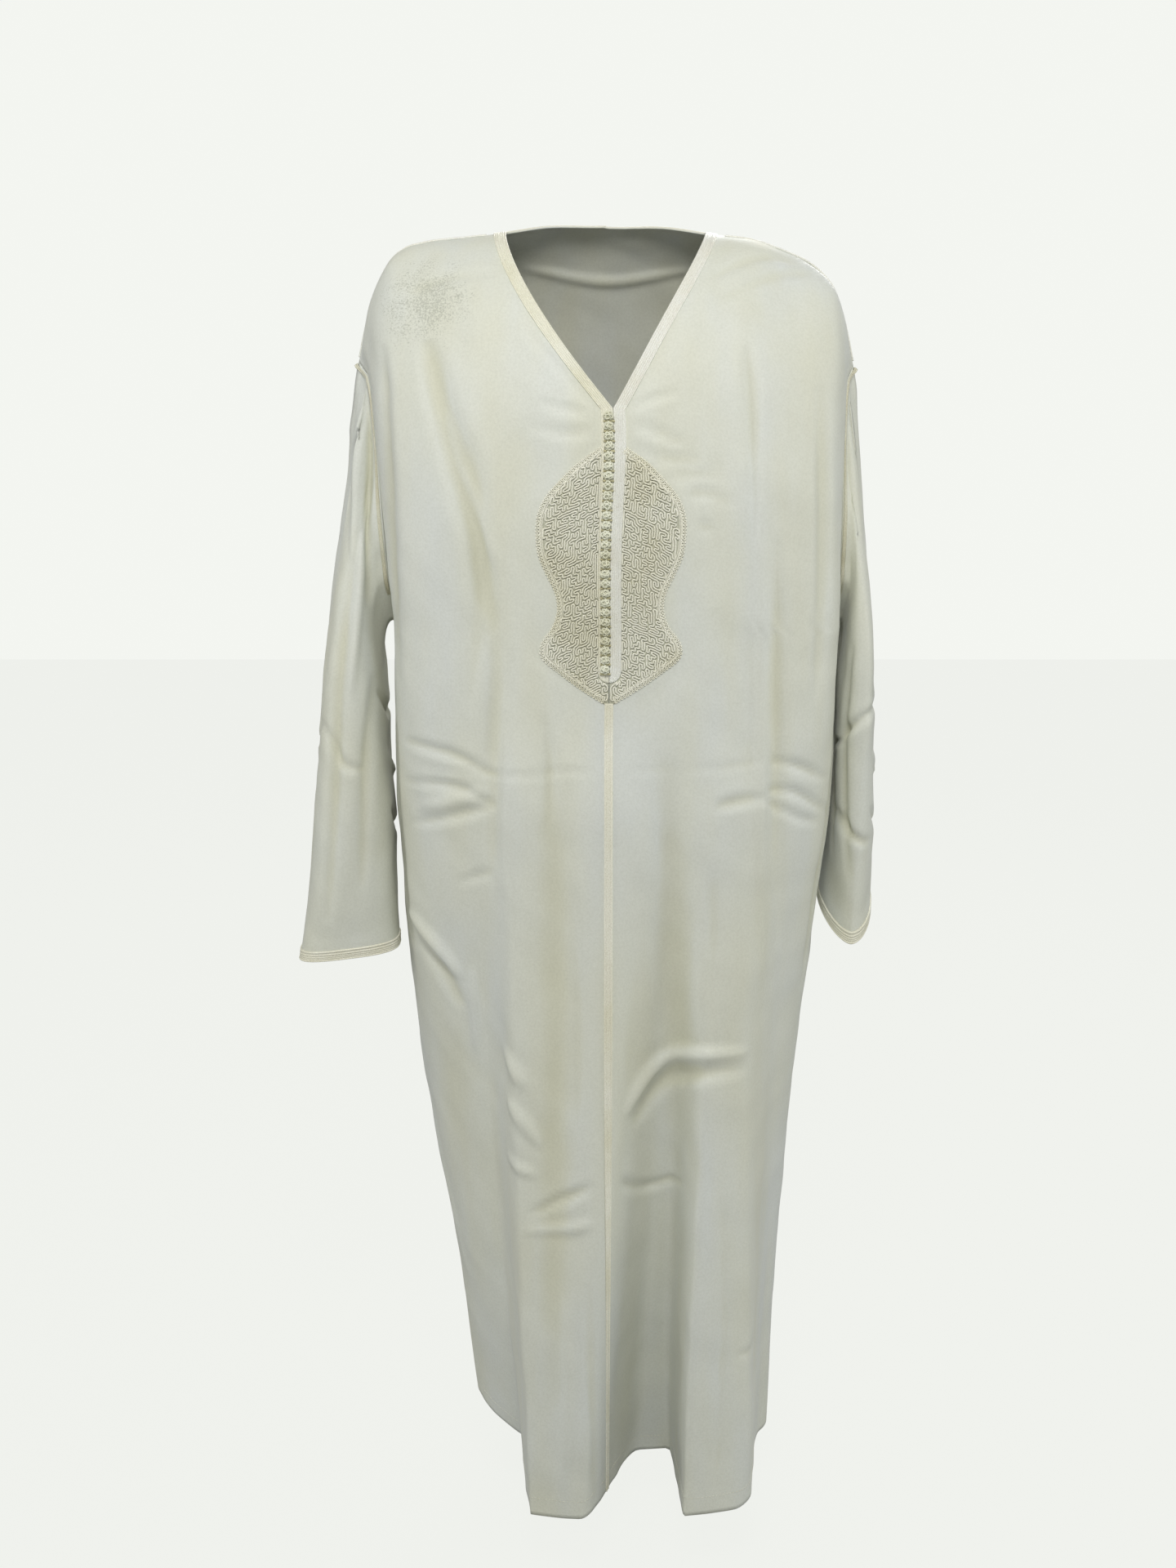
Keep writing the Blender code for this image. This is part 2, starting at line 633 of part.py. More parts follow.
def on_front(distance, z):
    """A point of the front and its normal, at a distance along the cloth from the opening."""
    v = row_at(z)
    a = distance / length_across(-1, v)
    return body(-1, a, v), outward(-1, a, v)


def plastron(name, side, look):
    """Half of the embroidered field beside the opening, which closes round the end of the braid."""
    end = [PLACKET_END_Z + PLACKET_TAPER * k for k in (1.0, 0.6, 0.25, 0.0, -0.2)]
    heights = sorted([row.z for row in PLASTRON] + end, reverse=True)
    points, out = [], []
    for z in heights:
        half = float(np.interp(-z, [-row.z for row in PLASTRON], [row.half for row in PLASTRON]))
        inner = placket_width(z) + PLASTRON_GAP if z > end[-1] else SEAM_GAP
        spread = np.linspace(inner, max(half, inner + PLASTRON_GAP), PLASTRON_COLUMNS + 1)
        found = [on_front(side * s, z) for s in spread]
        points.append([f[0] for f in found])
        out.append([f[1] for f in found])
    return raised(name, np.array(points), np.array(out), PLASTRON_LIFT, PLASTRON_THICK, look)


def knot(name, z, grid, normals, look):
    """One round knot, seated on the left braid of the opening."""
    pair, pair_n = at_height(grid, normals, z)
    share = -KNOT_OFFSET / BRAID_WIDTH
    seat = pair[0] * (1 - share) + pair[1] * share
    out = pair_n[0] / np.linalg.norm(pair_n[0])
    mesh = bmesh.new()
    bmesh.ops.create_uvsphere(mesh, u_segments=KNOT_SEGMENTS, v_segments=KNOT_RINGS, radius=0.5)
    for vertex in mesh.verts:
        vertex.co = [c * size for c, size in zip(vertex.co, KNOT_SIZE)]
    centre = seat + out * (LIFT + BRAID + SEAM_GAP + KNOT_SIZE[1] / 2)
    tilt = math.atan2(out[2], -out[1])
    for vertex in mesh.verts:
        x, y, height = vertex.co
        vertex.co = (
            centre[0] + x,
            centre[1] + y * math.cos(tilt) + height * math.sin(tilt),
            centre[2] - y * math.sin(tilt) + height * math.cos(tilt),
        )
    return finish(name, mesh, look)


def fabric(name, look):
    material = bpy.data.materials.new(name)
    material.use_nodes = True
    shader = material.node_tree.nodes["Principled BSDF"]
    shader.inputs["Base Color"].default_value = (*look.colour, 1.0)
    shader.inputs["Roughness"].default_value = look.roughness
    return material


def clear_scene():
    for obj in list(bpy.data.objects):
        bpy.data.objects.remove(obj, do_unlink=True)


def build():
    words = {-1: "left", 1: "right"}
    fronts = {side: front_grid(side) for side in words}
    back, back_n = back_grid()
    wall("back", back, back_n, CLOTH, CREPE)
    neck = slice(FRONT_COLUMNS, FRONT_COLUMNS + NECK_COLUMNS + 1)
    raised("neck_braid_back", back[-2:, neck], back_n[-2:, neck], LIFT, BRAID, THREAD)
    for side, word in words.items():
        wall(f"front_{word}", *fronts[side], CLOTH, CREPE)
        opening_braid(f"opening_braid_{word}", *fronts[side], THREAD)
        plastron(f"plastron_{word}", side, THREAD)
        rows = sleeve_grid(side)
        out = loop_normals(rows, side)
        wall(f"sleeve_{word}", rows, out, CLOTH, CREPE, closed=True)
        seam = rows[:2].copy()
        seam[0] += (rows[1] - rows[0]) * ARM_BRAID_START
        raised(f"armhole_braid_{word}", seam, out[:2], ARM_BRAID_LIFT, BRAID, THREAD, closed=True)
        raised(f"cuff_braid_{word}", rows[-2:], out[-2:], LIFT, BRAID, THREAD, closed=True)
    centre_braid("centre_braid", fronts, THREAD)
    for i, z in enumerate(np.linspace(KNOT_TOP_Z, KNOT_BOTTOM_Z, KNOTS)):
        knot(f"knot_{i + 1:02d}", z, *fronts[-1], THREAD)


clear_scene()
ROBE = bpy.data.collections.new("djellaba_robe")
bpy.context.scene.collection.children.link(ROBE)
build()
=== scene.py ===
# %% [markdown]
# # A djellaba robe in its worn, hollow form
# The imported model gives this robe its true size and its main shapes: two fronts, a back, two sleeves and
# plain strips where braid is sewn on. Here each plain solid gets the cloth, cord and stitching that a
# person would see from a step away. Nothing is moved: every piece is built in the same frame, in metres,
# with +Z up, the front towards -Y, and "left" and "right" as seen by someone who looks at the front.

# %% Load the frame
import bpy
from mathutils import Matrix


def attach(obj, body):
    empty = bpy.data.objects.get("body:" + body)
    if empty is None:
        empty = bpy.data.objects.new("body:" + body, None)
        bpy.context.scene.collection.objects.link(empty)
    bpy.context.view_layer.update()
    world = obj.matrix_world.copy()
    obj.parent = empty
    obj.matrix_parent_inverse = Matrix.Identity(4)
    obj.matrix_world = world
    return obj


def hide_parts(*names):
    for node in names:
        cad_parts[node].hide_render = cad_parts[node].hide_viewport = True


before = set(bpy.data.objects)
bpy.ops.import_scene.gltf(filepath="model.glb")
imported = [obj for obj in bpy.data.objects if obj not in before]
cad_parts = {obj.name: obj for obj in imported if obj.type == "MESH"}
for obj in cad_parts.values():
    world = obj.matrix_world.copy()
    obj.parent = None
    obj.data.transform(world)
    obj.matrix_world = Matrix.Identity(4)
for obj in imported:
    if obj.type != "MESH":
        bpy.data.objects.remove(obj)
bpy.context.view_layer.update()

# %% Modules and the robe's driving sizes, in metres
import math
import random
from collections import namedtuple

import bmesh
import bpy
import numpy as np
from mathutils import Vector

CLOTH = 0.0013
SEAM_GAP = 0.0003
LIFT = 0.0005
BRAID_WIDTH = 0.012
BRAID_LEAN = 1.05
ARM_BRAID_WIDTH = 0.0065
UNDERARM_Z = -0.40
HEM_Z = -1.36
HIP_Z = -0.60
V_POINT_Z = -0.172
V_BOW_LEFT = 2.7
V_BOW_RIGHT = 2.15
NECK_HALF = 0.102
BACK_NECK_DROP = 0.10
OPENING_LEAN = 0.005
LEAN_Z = -0.20
LEAN_REACH = 0.08
SLIT_TOP_Z = -1.07
CORNER_RISE = 0.045
CORNER_START = 0.62
SLIT_HALF = 0.006
FRONT_ARC = 2.3
BACK_ARC = 2.6
SIDE_ARC = 3.8
SIDE_ARC_START = 0.55
SHOULDER_Y = 0.012
FOLD_START = 0.16
FOLD_GROWTH = 1.5
HIP_SOFT = 0.06
PINCH_DEPTH = 0.014
PINCH_ANGLE = 0.30
PINCH_END_Z = -0.60
PLACKET_END_Z = -0.445
print(f"the robe is {-HEM_Z:.2f} m long from the shoulder seam to the hem")

# %% [markdown]
# ## The form of the body
# A robe that hangs on shoulders is a tube whose section changes with height. It could be sculpted by hand,
# but a short table of sections is easier to read and to correct: each row says how far the cloth reaches to
# the left, right, front and back at one height, and the large folds are strips that stand out of it. The
# same tables drive the solids, so the fine cloth that is made here lies exactly on them.

# %% Tables of sections, folds, shoulder and armhole
Section = namedtuple("Section", "z left right front back square centre")
SECTIONS = [
    Section(-0.400, 0.237, 0.257, 0.134, 0.132, 3.2, 0.003),
    Section(-0.500, 0.233, 0.251, 0.140, 0.128, 3.0, 0.002),
    Section(-0.615, 0.226, 0.244, 0.141, 0.128, 2.8, 0.002),
    Section(-0.710, 0.222, 0.234, 0.138, 0.134, 2.6, 0.002),
    Section(-0.900, 0.203, 0.215, 0.128, 0.145, 2.4, 0.002),
    Section(-1.100, 0.175, 0.201, 0.112, 0.150, 2.3, 0.002),
    Section(-1.360, 0.150, 0.194, 0.070, 0.152, 2.3, 0.002),
]

Fold = namedtuple("Fold", "face left_hip left_hem right_hip right_hem soft_left soft_right rise_hip rise_hem")
FOLDS = [
    Fold("front", -0.120, -0.090, 0.040, 0.006, 0.013, 0.070, 0.012, 0.134),
    Fold("front", 0.090, 0.080, 0.166, 0.172, 0.012, 0.022, 0.012, 0.132),
    Fold("back", -0.170, -0.120, -0.100, -0.060, 0.040, 0.030, 0.004, 0.045),
    Fold("back", -0.040, -0.020, 0.030, 0.045, 0.030, 0.040, 0.006, 0.060),
    Fold("back", 0.090, 0.090, 0.160, 0.150, 0.030, 0.040, 0.005, 0.050),
]

Shoulder = namedtuple("Shoulder", "x left right")
SHOULDER_LINE = [
    Shoulder(0.000, 0.014, 0.013),
    Shoulder(0.060, 0.011, 0.010),
    Shoulder(0.105, 0.002, 0.001),
    Shoulder(0.150, -0.003, -0.005),
    Shoulder(0.189, -0.008, -0.018),
    Shoulder(0.208, -0.014, -0.027),
    Shoulder(0.224, -0.028, -0.040),
    Shoulder(0.236, -0.051, -0.056),
    Shoulder(0.247, -0.082, -0.086),
    Shoulder(0.259, -0.128, -0.132),
]

Bite = namedtuple("Bite", "row share")
ARMHOLE = [
    Bite(0.000, 0.000),
    Bite(0.012, 0.068),
    Bite(0.042, 0.098),
    Bite(0.100, 0.114),
    Bite(0.200, 0.120),
    Bite(0.300, 0.121),
    Bite(0.440, 0.120),
    Bite(0.525, 0.100),
    Bite(0.614, 0.060),
    Bite(0.709, 0.030),
    Bite(0.800, 0.012),
    Bite(1.000, 0.000),
]
FRONT_ARM_ROWS = [0.40, 0.46, 0.53, 0.61, 0.73, 1.0]
UNDERARM_ROW = 0.012
BACK_ARM_ROWS = [UNDERARM_ROW, 0.045, 0.11, 0.20, 0.30, 0.38, 0.45, 0.52, 0.60, 0.70, 0.84, 1.0]
ROW_BEND = 1.5
print(len(SECTIONS), "sections,", len(FOLDS), "large folds")


# %% Read a table as a smooth curve
def smooth(t):
    t = np.clip(t, 0.0, 1.0)
    return t * t * (3.0 - 2.0 * t)


def curve(rows, key, value, at):
    """A smooth curve through one column of a table, read at another column's value."""
    xs = np.array([getattr(r, key) for r in rows])
    ys = np.array([getattr(r, value) for r in rows])
    order = np.argsort(xs)
    xs, ys = xs[order], ys[order]
    slopes = np.gradient(ys, xs)
    at = np.clip(at, xs[0], xs[-1])
    i = np.clip(np.searchsorted(xs, at) - 1, 0, len(xs) - 2)
    h = xs[i + 1] - xs[i]
    t = (at - xs[i]) / h
    return (
        (2 * t**3 - 3 * t**2 + 1) * ys[i]
        + (t**3 - 2 * t**2 + t) * h * slopes[i]
        + (3 * t**2 - 2 * t**3) * ys[i + 1]
        + (t**3 - t**2) * h * slopes[i + 1]
    )


print("half width at the hip:", round(float(curve(SECTIONS, "z", "right", HIP_Z)), 3))


# %% One section of the body, and a table of them
def fold_edge(fold, edge, z):
    """Where an edge of a fold lies at one height, and over what width it bends."""
    t = float(np.clip((HIP_Z - z) / (HIP_Z - HEM_Z), 0.0, 1.0))
    hip, hem = getattr(fold, f"{edge}_hip"), getattr(fold, f"{edge}_hem")
    return hip + (hem - hip) * t, HIP_SOFT + (getattr(fold, f"soft_{edge}") - HIP_SOFT) * t


def fold_height(fold, x, z):
    """How far one fold stands out of the front or back at a point."""
    down = (HIP_Z - z) / (HIP_Z - HEM_Z)
    left, soft_left = fold_edge(fold, "left", z)
    right, soft_right = fold_edge(fold, "right", z)
    rise = fold.rise_hip + (fold.rise_hem - fold.rise_hip) * float(np.clip(down, 0.0, 1.0)) ** FOLD_GROWTH
    rise *= float(smooth(1.0 + down / FOLD_START))
    return rise * smooth(0.5 + (x - left) / soft_left) * smooth(0.5 + (right - x) / soft_right)


def ring(z, samples=720):
    """The body's section at one height, from the back centre round the left, the front and the right."""
    angle = np.linspace(-math.pi, math.pi, samples + 1)
    across, along = np.sin(angle), np.cos(angle)
    get = lambda column: curve(SECTIONS, "z", column, z)
    centre = get("centre")
    half = np.where(across < 0, get("left") + centre, get("right") - centre)
    depth = np.where(along > 0, get("front"), get("back"))
    n = get("square")
    r = (np.abs(across / half) ** n + np.abs(along / depth) ** n) ** (-1.0 / n)
    pinch = PINCH_DEPTH * smooth((z - PINCH_END_Z) / (UNDERARM_Z - PINCH_END_Z))
    r = r - pinch * np.exp(-((np.abs(np.abs(angle) - math.pi / 2) / PINCH_ANGLE) ** 2))
    x, y = centre + r * across, -r * along
    for fold in FOLDS:
        facing = smooth(along / 0.35) if fold.face == "front" else -smooth(-along / 0.35)
        y = y - facing * fold_height(fold, x, z)
    return np.column_stack([x, y])


LENGTHS = np.linspace(-2.0, 2.0, 1201)
HEIGHTS = np.linspace(HEM_Z, UNDERARM_Z, 241)


def even_ring(z):
    """A section read at even lengths: -2 and 2 at the back centre, -1 and 1 at the side seams, 0 in front."""
    points = ring(z)
    steps = np.concatenate([[0.0], np.cumsum(np.linalg.norm(np.diff(points, axis=0), axis=1))])
    quarter = len(steps) // 4
    marks = steps[[0, quarter, 2 * quarter, 3 * quarter, 4 * quarter]]
    length = np.interp(LENGTHS, [-2, -1, 0, 1, 2], marks)
    return np.column_stack([np.interp(length, steps, points[:, k]) for k in (0, 1)])


RINGS = np.array([even_ring(z) for z in HEIGHTS])


def ring_point(z, g):
    """Points of the body's sections at heights z and length coordinates g, which wrap at the back centre."""
    row = np.clip((z - HEM_Z) / (UNDERARM_Z - HEM_Z), 0.0, 1.0) * (len(HEIGHTS) - 1)
    column = ((g + 2.0) % 4.0) / 4.0 * (len(LENGTHS) - 1)
    r = np.minimum(row.astype(int), len(HEIGHTS) - 2)
    c = np.minimum(column.astype(int), len(LENGTHS) - 2)
    fr, fc = (row - r)[..., None], (column - c)[..., None]
    near = RINGS[r, c] * (1 - fc) + RINGS[r, c + 1] * fc
    far = RINGS[r + 1, c] * (1 - fc) + RINGS[r + 1, c + 1] * fc
    return near * (1 - fr) + far * fr


print("table of sections:", RINGS.shape)

# %% [markdown]
# ## From sections to a surface
# Below the underarm a point is found on the sections. Above it, the cloth arches over the chest and the
# shoulder blades to the shoulder seam. Both halves answer to the same two coordinates: a runs round from
# the left side at -1 over the front centre at 0 to the right side at 1, and v runs up from the hem at -1
# over the underarm at 0 to the shoulder seam at 1.


# %% The body's surface and its outward direction
def shoulder_point(a):
    """Points of the shoulder seam, from the neck centre at 0 to the armhole at 1 or -1."""
    found = np.zeros(np.shape(a) + (2,))
    for column, mask in (("left", a < 0), ("right", a >= 0)):
        x = np.linspace(0, SHOULDER_LINE[-1].x, 121)
        z = curve(SHOULDER_LINE, "x", column, x)
        steps = np.concatenate([[0.0], np.cumsum(np.hypot(np.diff(x), np.diff(z)))])
        length = np.minimum(np.abs(a), 1.0) * steps[-1]
        found[mask] = np.stack([np.interp(length, steps, x), np.interp(length, steps, z)], axis=-1)[mask]
    found[..., 0] *= np.where(a < 0, -1.0, 1.0)
    return found


def body(face, a, v):
    """Points of the robe's body: face is -1 in front and 1 behind."""
    face, a, v = (np.array(x, float) for x in np.broadcast_arrays(face, a, v))
    over = v > 1.0
    face, v = np.where(over, -face, face), np.where(over, 2.0 - v, v)
    beyond = np.abs(a) > 1.0
    face, a = np.where(beyond, -face, face), np.where(beyond, np.copysign(2.0 - np.abs(a), a), a)
    z_low = UNDERARM_Z + np.minimum(v, 0.0) * (UNDERARM_Z - HEM_Z)
    low = ring_point(z_low, np.where(face < 0, a, 2.0 - a))
    corner = CORNER_RISE * np.minimum(v, 0) ** 4 * smooth((-a - CORNER_START) / (1.0 - CORNER_START))
    seam = shoulder_point(a)
    middle = np.where(face < 0, FRONT_ARC, BACK_ARC)
    sideways = smooth((np.abs(a) - SIDE_ARC_START) / (1.0 - SIDE_ARC_START))
    power = 2.0 / (middle + (SIDE_ARC - middle) * sideways)
    turn = np.clip(v, 0.0, 1.0) * math.pi / 2
    up, out = np.sin(turn) ** power, np.maximum(np.cos(turn), 0.0) ** power
    y_seam = SHOULDER_Y * (1.0 - a**2)
    z = np.where(v <= 0, z_low + corner, UNDERARM_Z + (seam[..., 1] - UNDERARM_Z) * up)
    x = low[..., 0] + (seam[..., 0] - low[..., 0]) * up
    y = np.where(v <= 0, low[..., 1], y_seam + (low[..., 1] - y_seam) * out)
    lean = OPENING_LEAN * (face < 0) * np.exp(-(((z - LEAN_Z) / LEAN_REACH) ** 2) - (a / 0.4) ** 2)
    return np.stack([x + lean, y, z], axis=-1)


def unit(vectors):
    return vectors / np.maximum(np.linalg.norm(vectors, axis=-1, keepdims=True), 1e-12)


def outward(face, a, v):
    """Outward directions of the body's surface."""
    da, dv = 0.006, 0.005
    across = body(face, a + da, v) - body(face, a - da, v)
    along = body(face, a, v + dv) - body(face, a, np.maximum(v - dv, -1.0))
    return unit(np.cross(across, along) * np.where(np.asarray(face) < 0, 1.0, -1.0)[..., None])


ROWS = np.linspace(-1.0, 1.0, 401)
SPANS = {
    face: np.linalg.norm(np.diff(body(face, *np.meshgrid(np.linspace(0, 1, 41), ROWS)), axis=1), axis=2).sum(1)
    for face in (-1, 1)
}
CENTRE_HEIGHTS = body(-1, np.zeros(401), ROWS)[:, 2]
SHARES = np.linspace(0.0, 1.0, 201)
NECK = float(np.interp(NECK_HALF, shoulder_point(SHARES)[:, 0], SHARES))


def span(face, v):
    """The cloth's length from the centre to the side at rows v."""
    return np.interp(v, ROWS, SPANS[face])


def row_at(z):
    """The row on the front centre at heights z."""
    return np.interp(z, CENTRE_HEIGHTS, ROWS)


V_POINT = float(row_at(V_POINT_Z))
print("the V neck ends at row", round(V_POINT, 3), "and the neck at share", round(NECK, 3))


# %% Where the panels are cut: the neck, the armhole, the side seam and the slit
def neck_a(side, v):
    """Where the V neckline crosses rows of the yoke."""
    t = np.clip((v - V_POINT) / (1.0 - V_POINT), 0.0, 1.0)
    return NECK * (1.0 - (1.0 - t) ** (V_BOW_LEFT if side < 0 else V_BOW_RIGHT))


def side_a(v, width):
    """The outer edge of the front and the back."""
    z = UNDERARM_Z + np.minimum(v, 0.0) * (UNDERARM_Z - HEM_Z)
    half_gap = 0.5 * SEAM_GAP + SLIT_HALF * smooth((SLIT_TOP_Z - z) / (SLIT_TOP_Z - HEM_Z))
    armhole = 1.0 - curve(ARMHOLE, "row", "share", np.maximum(v, 0.0))
    return np.minimum(armhole, 1.0 - half_gap / width)


Outline = namedtuple("Outline", "z half")
FIELD = [
    Outline(-0.209, 0.0125),
    Outline(-0.222, 0.0320),
    Outline(-0.240, 0.0515),
    Outline(-0.257, 0.0670),
    Outline(-0.276, 0.0757),
    Outline(-0.296, 0.0770),
    Outline(-0.317, 0.0745),
    Outline(-0.336, 0.0665),
    Outline(-0.355, 0.0576),
    Outline(-0.372, 0.0556),
    Outline(-0.388, 0.0605),
    Outline(-0.406, 0.0725),
    Outline(-0.418, 0.0730),
    Outline(-0.439, 0.0490),
    Outline(-0.454, 0.0275),
    Outline(-0.467, 0.0060),
]
FIELD_TOP, FIELD_BOTTOM = FIELD[0].z, FIELD[-1].z

YOKE_ROWS = 7
FRONT_YOKE = [UNDERARM_ROW] + list(np.linspace(0.0, V_POINT, YOKE_ROWS + 1)[1:])
FRONT_NECK = V_POINT + (1.0 - V_POINT) * np.linspace(0.0, 1.0, len(FRONT_ARM_ROWS) + 1)[1:]
FRONT_INNER = [-1.0, 0.0] + FRONT_YOKE + list(FRONT_NECK)
FRONT_OUTER = [-1.0, 0.0] + FRONT_YOKE + FRONT_ARM_ROWS
BACK_INNER = [-1.0, 0.0, UNDERARM_ROW] + list(np.linspace(0.0, 1.0, len(BACK_ARM_ROWS) - 1)[1:-1]) + [0.955, 1.0]
BACK_OUTER = [-1.0, 0.0] + BACK_ARM_ROWS
FRONT_COLUMNS = 12


def front_shares(side, v, v_arm, t):
    """Where the columns t of a front panel lie between its inner edge at 0 and its outer edge at 1."""
    inner = neck_a(side, v) + 0.5 * SEAM_GAP / span(-1, v)
    first = inner + BRAID_WIDTH * np.where(v > V_POINT, BRAID_LEAN, 1.0) / span(-1, v)
    outer = side_a(v_arm, span(-1, v_arm))
    step = 1.0 / FRONT_COLUMNS
    return np.where(t < step, inner + (first - inner) * t / step, first + (outer - first) * (t - step) / (1 - step))


def front_panel(side, rows, columns):
    """Coordinates a and v of a fine grid on one front panel, from the hem up and from the inside out."""
    t = np.linspace(0.0, 1.0, columns)[None, :]
    v = rows[:, None]
    v_arm = np.interp(v, FRONT_INNER, FRONT_OUTER)
    return side * front_shares(side, v, v_arm, t), v + (v_arm - v) * t**ROW_BEND


def back_panel(rows, columns):
    """Coordinates a and v of a fine grid on the back panel, from the hem up and from left to right."""
    share = np.linspace(-1.0, 1.0, columns)[None, :]
    v = rows[:, None]
    v_arm = np.interp(v, BACK_INNER, BACK_OUTER)
    a = share * side_a(v_arm, span(1, v_arm))
    dip = BACK_NECK_DROP * np.maximum(0.0, v) * np.clip(1.0 - (a / NECK) ** 2, 0.0, 1.0)
    w = v + (v_arm - v) * np.abs(share) ** ROW_BEND
    return a, np.where(w > 0, w * (1.0 - dip), w)


PANEL_ROWS = np.concatenate([np.linspace(-1.0, 0.0, 200), np.linspace(0.0, 1.0, 96)[1:]])
print("front panel", body(-1, *front_panel(1, PANEL_ROWS, 90)).shape, "points")

# %% [markdown]
# ## The sleeves
# Each sleeve is set into the armhole and hangs as a flattened tube. It starts on the panels' own armhole
# edge and sweeps into a stack of measured rings, so that the seam closes without any fitting by eye.

# %% The form of the sleeves
SleeveRing = namedtuple("SleeveRing", "z outer inner front back tilt_out tilt_front round")
LEFT_SLEEVE = [
    SleeveRing(-0.450, 0.303, 0.2400, -0.075, 0.080, 0.000, 0.000, 0.85),
    SleeveRing(-0.530, 0.310, 0.2360, -0.080, 0.070, 0.002, 0.000, 0.80),
    SleeveRing(-0.620, 0.319, 0.2300, -0.080, 0.050, 0.006, 0.000, 0.75),
    SleeveRing(-0.700, 0.328, 0.2285, -0.076, 0.026, 0.007, 0.000, 0.70),
    SleeveRing(-0.762, 0.336, 0.2275, -0.070, 0.000, 0.007, 0.000, 0.65),
]
RIGHT_SLEEVE = [
    SleeveRing(-0.450, 0.290, 0.2525, -0.058, 0.105, 0.000, 0.000, 0.75),
    SleeveRing(-0.530, 0.294, 0.2490, -0.055, 0.102, 0.000, 0.005, 0.82),
    SleeveRing(-0.620, 0.298, 0.2460, -0.050, 0.100, 0.001, 0.014, 0.95),
    SleeveRing(-0.680, 0.299, 0.2430, -0.045, 0.096, 0.002, 0.023, 1.10),
    SleeveRing(-0.722, 0.299, 0.2410, -0.042, 0.090, 0.003, 0.032, 1.20),
]
SLEEVE_START = 0.05
SLEEVE_END = 0.20


def armhole_loop(side, count):
    """The armhole's edge, from the top round the front, the underarm and the back: its points, the directions
    in which the sleeve leaves them, and the share of the way round."""
    down = np.linspace(1.0, 0.0, count)
    v = np.concatenate([down, down[::-1][1:-1]])
    face = np.concatenate([-np.ones(count), np.ones(count - 2)])
    a = side * np.where(face < 0, side_a(v, span(-1, v)), side_a(v, span(1, v)))
    points = body(face, a, v)
    normals = outward(face, a, v)
    top = v > 0.99
    normals[top] = unit(normals[top] * (1, 0, 1))
    around = np.roll(points, -1, axis=0) - np.roll(points, 1, axis=0)
    leave = unit(np.cross(normals, around) * side)
    low = smooth(1.0 - v / 0.3)[:, None]
    leave = leave * (1.0 - low) + normals * low
    leave[:, 1] *= 1.0 - smooth((v - 0.40) / 0.22)
    steps = np.concatenate([[0.0], np.cumsum(np.linalg.norm(np.diff(points, axis=0), axis=1))])
    total = steps[-1] + np.linalg.norm(points[0] - points[-1])
    under = steps[count - 1]
    share = np.where(steps <= under, 0.5 * steps / under, 0.5 + 0.5 * (steps - under) / (total - under))
    even = np.linspace(0.0, 1.0, 2 * count, endpoint=False)
    wrap = lambda table: np.column_stack([
        np.interp(even, np.append(share, 1.0), np.append(table[:, k], table[0, k])) for k in range(3)
    ])
    return wrap(points), unit(wrap(leave)), even


def sleeve_ring(rings, side, z, share):
    """A section of the sleeve, in the armhole's order: outer, front, inner, back."""
    get = lambda column: float(curve(rings, "z", column, z))
    turn = 2 * math.pi * share
    across = np.sign(np.cos(turn)) * np.abs(np.cos(turn)) ** get("round")
    along = np.sign(np.sin(turn)) * np.abs(np.sin(turn)) ** get("round")
    x = (get("outer") + get("inner")) / 2 + (get("outer") - get("inner")) / 2 * across
    y = (get("front") + get("back")) / 2 + (get("front") - get("back")) / 2 * along
    return np.column_stack([side * x, y, z - get("tilt_out") * across - get("tilt_front") * along])


def sleeve_panel(side, count=48, head_rows=60, tube_rows=76):
    """Rows of closed loops from the armhole to the cuff."""
    rings = LEFT_SLEEVE if side < 0 else RIGHT_SLEEVE
    edge, leave, share = armhole_loop(side, count)
    start = edge + ARM_BRAID_WIDTH * leave
    top, cuff = rings[0].z, rings[-1].z
    first = sleeve_ring(rings, side, top, share)
    drop = unit(sleeve_ring(rings, side, top - 0.02, share) - first)
    reach = np.linalg.norm(first - start, axis=1)[:, None]
    pull_start = np.minimum(SLEEVE_START, 0.6 * reach)
    pull_end = np.minimum(SLEEVE_END, 0.8 * reach)
    rows = [edge + SEAM_GAP * leave, (edge + start) / 2]
    for t in np.linspace(0.0, 1.0, head_rows):
        rows.append(
            (2 * t**3 - 3 * t**2 + 1) * start
            + (t**3 - 2 * t**2 + t) * pull_start * leave
            + (3 * t**2 - 2 * t**3) * first
            + (t**3 - t**2) * pull_end * drop
        )
    rows += [sleeve_ring(rings, side, z, share) for z in np.linspace(top, cuff, tube_rows)[1:]]
    return np.array(rows)


def loop_normals(rows, side):
    """Outward directions of a grid whose rows are closed loops."""
    around = unit(np.roll(rows, -1, axis=1) - rows) + unit(rows - np.roll(rows, 1, axis=1))
    steps = unit(np.diff(rows, axis=0))
    down = np.concatenate([steps[:1], steps[:-1] + steps[1:], steps[-1:]])
    return unit(np.cross(around, down) * side)


print("sleeve grid:", sleeve_panel(1).shape)
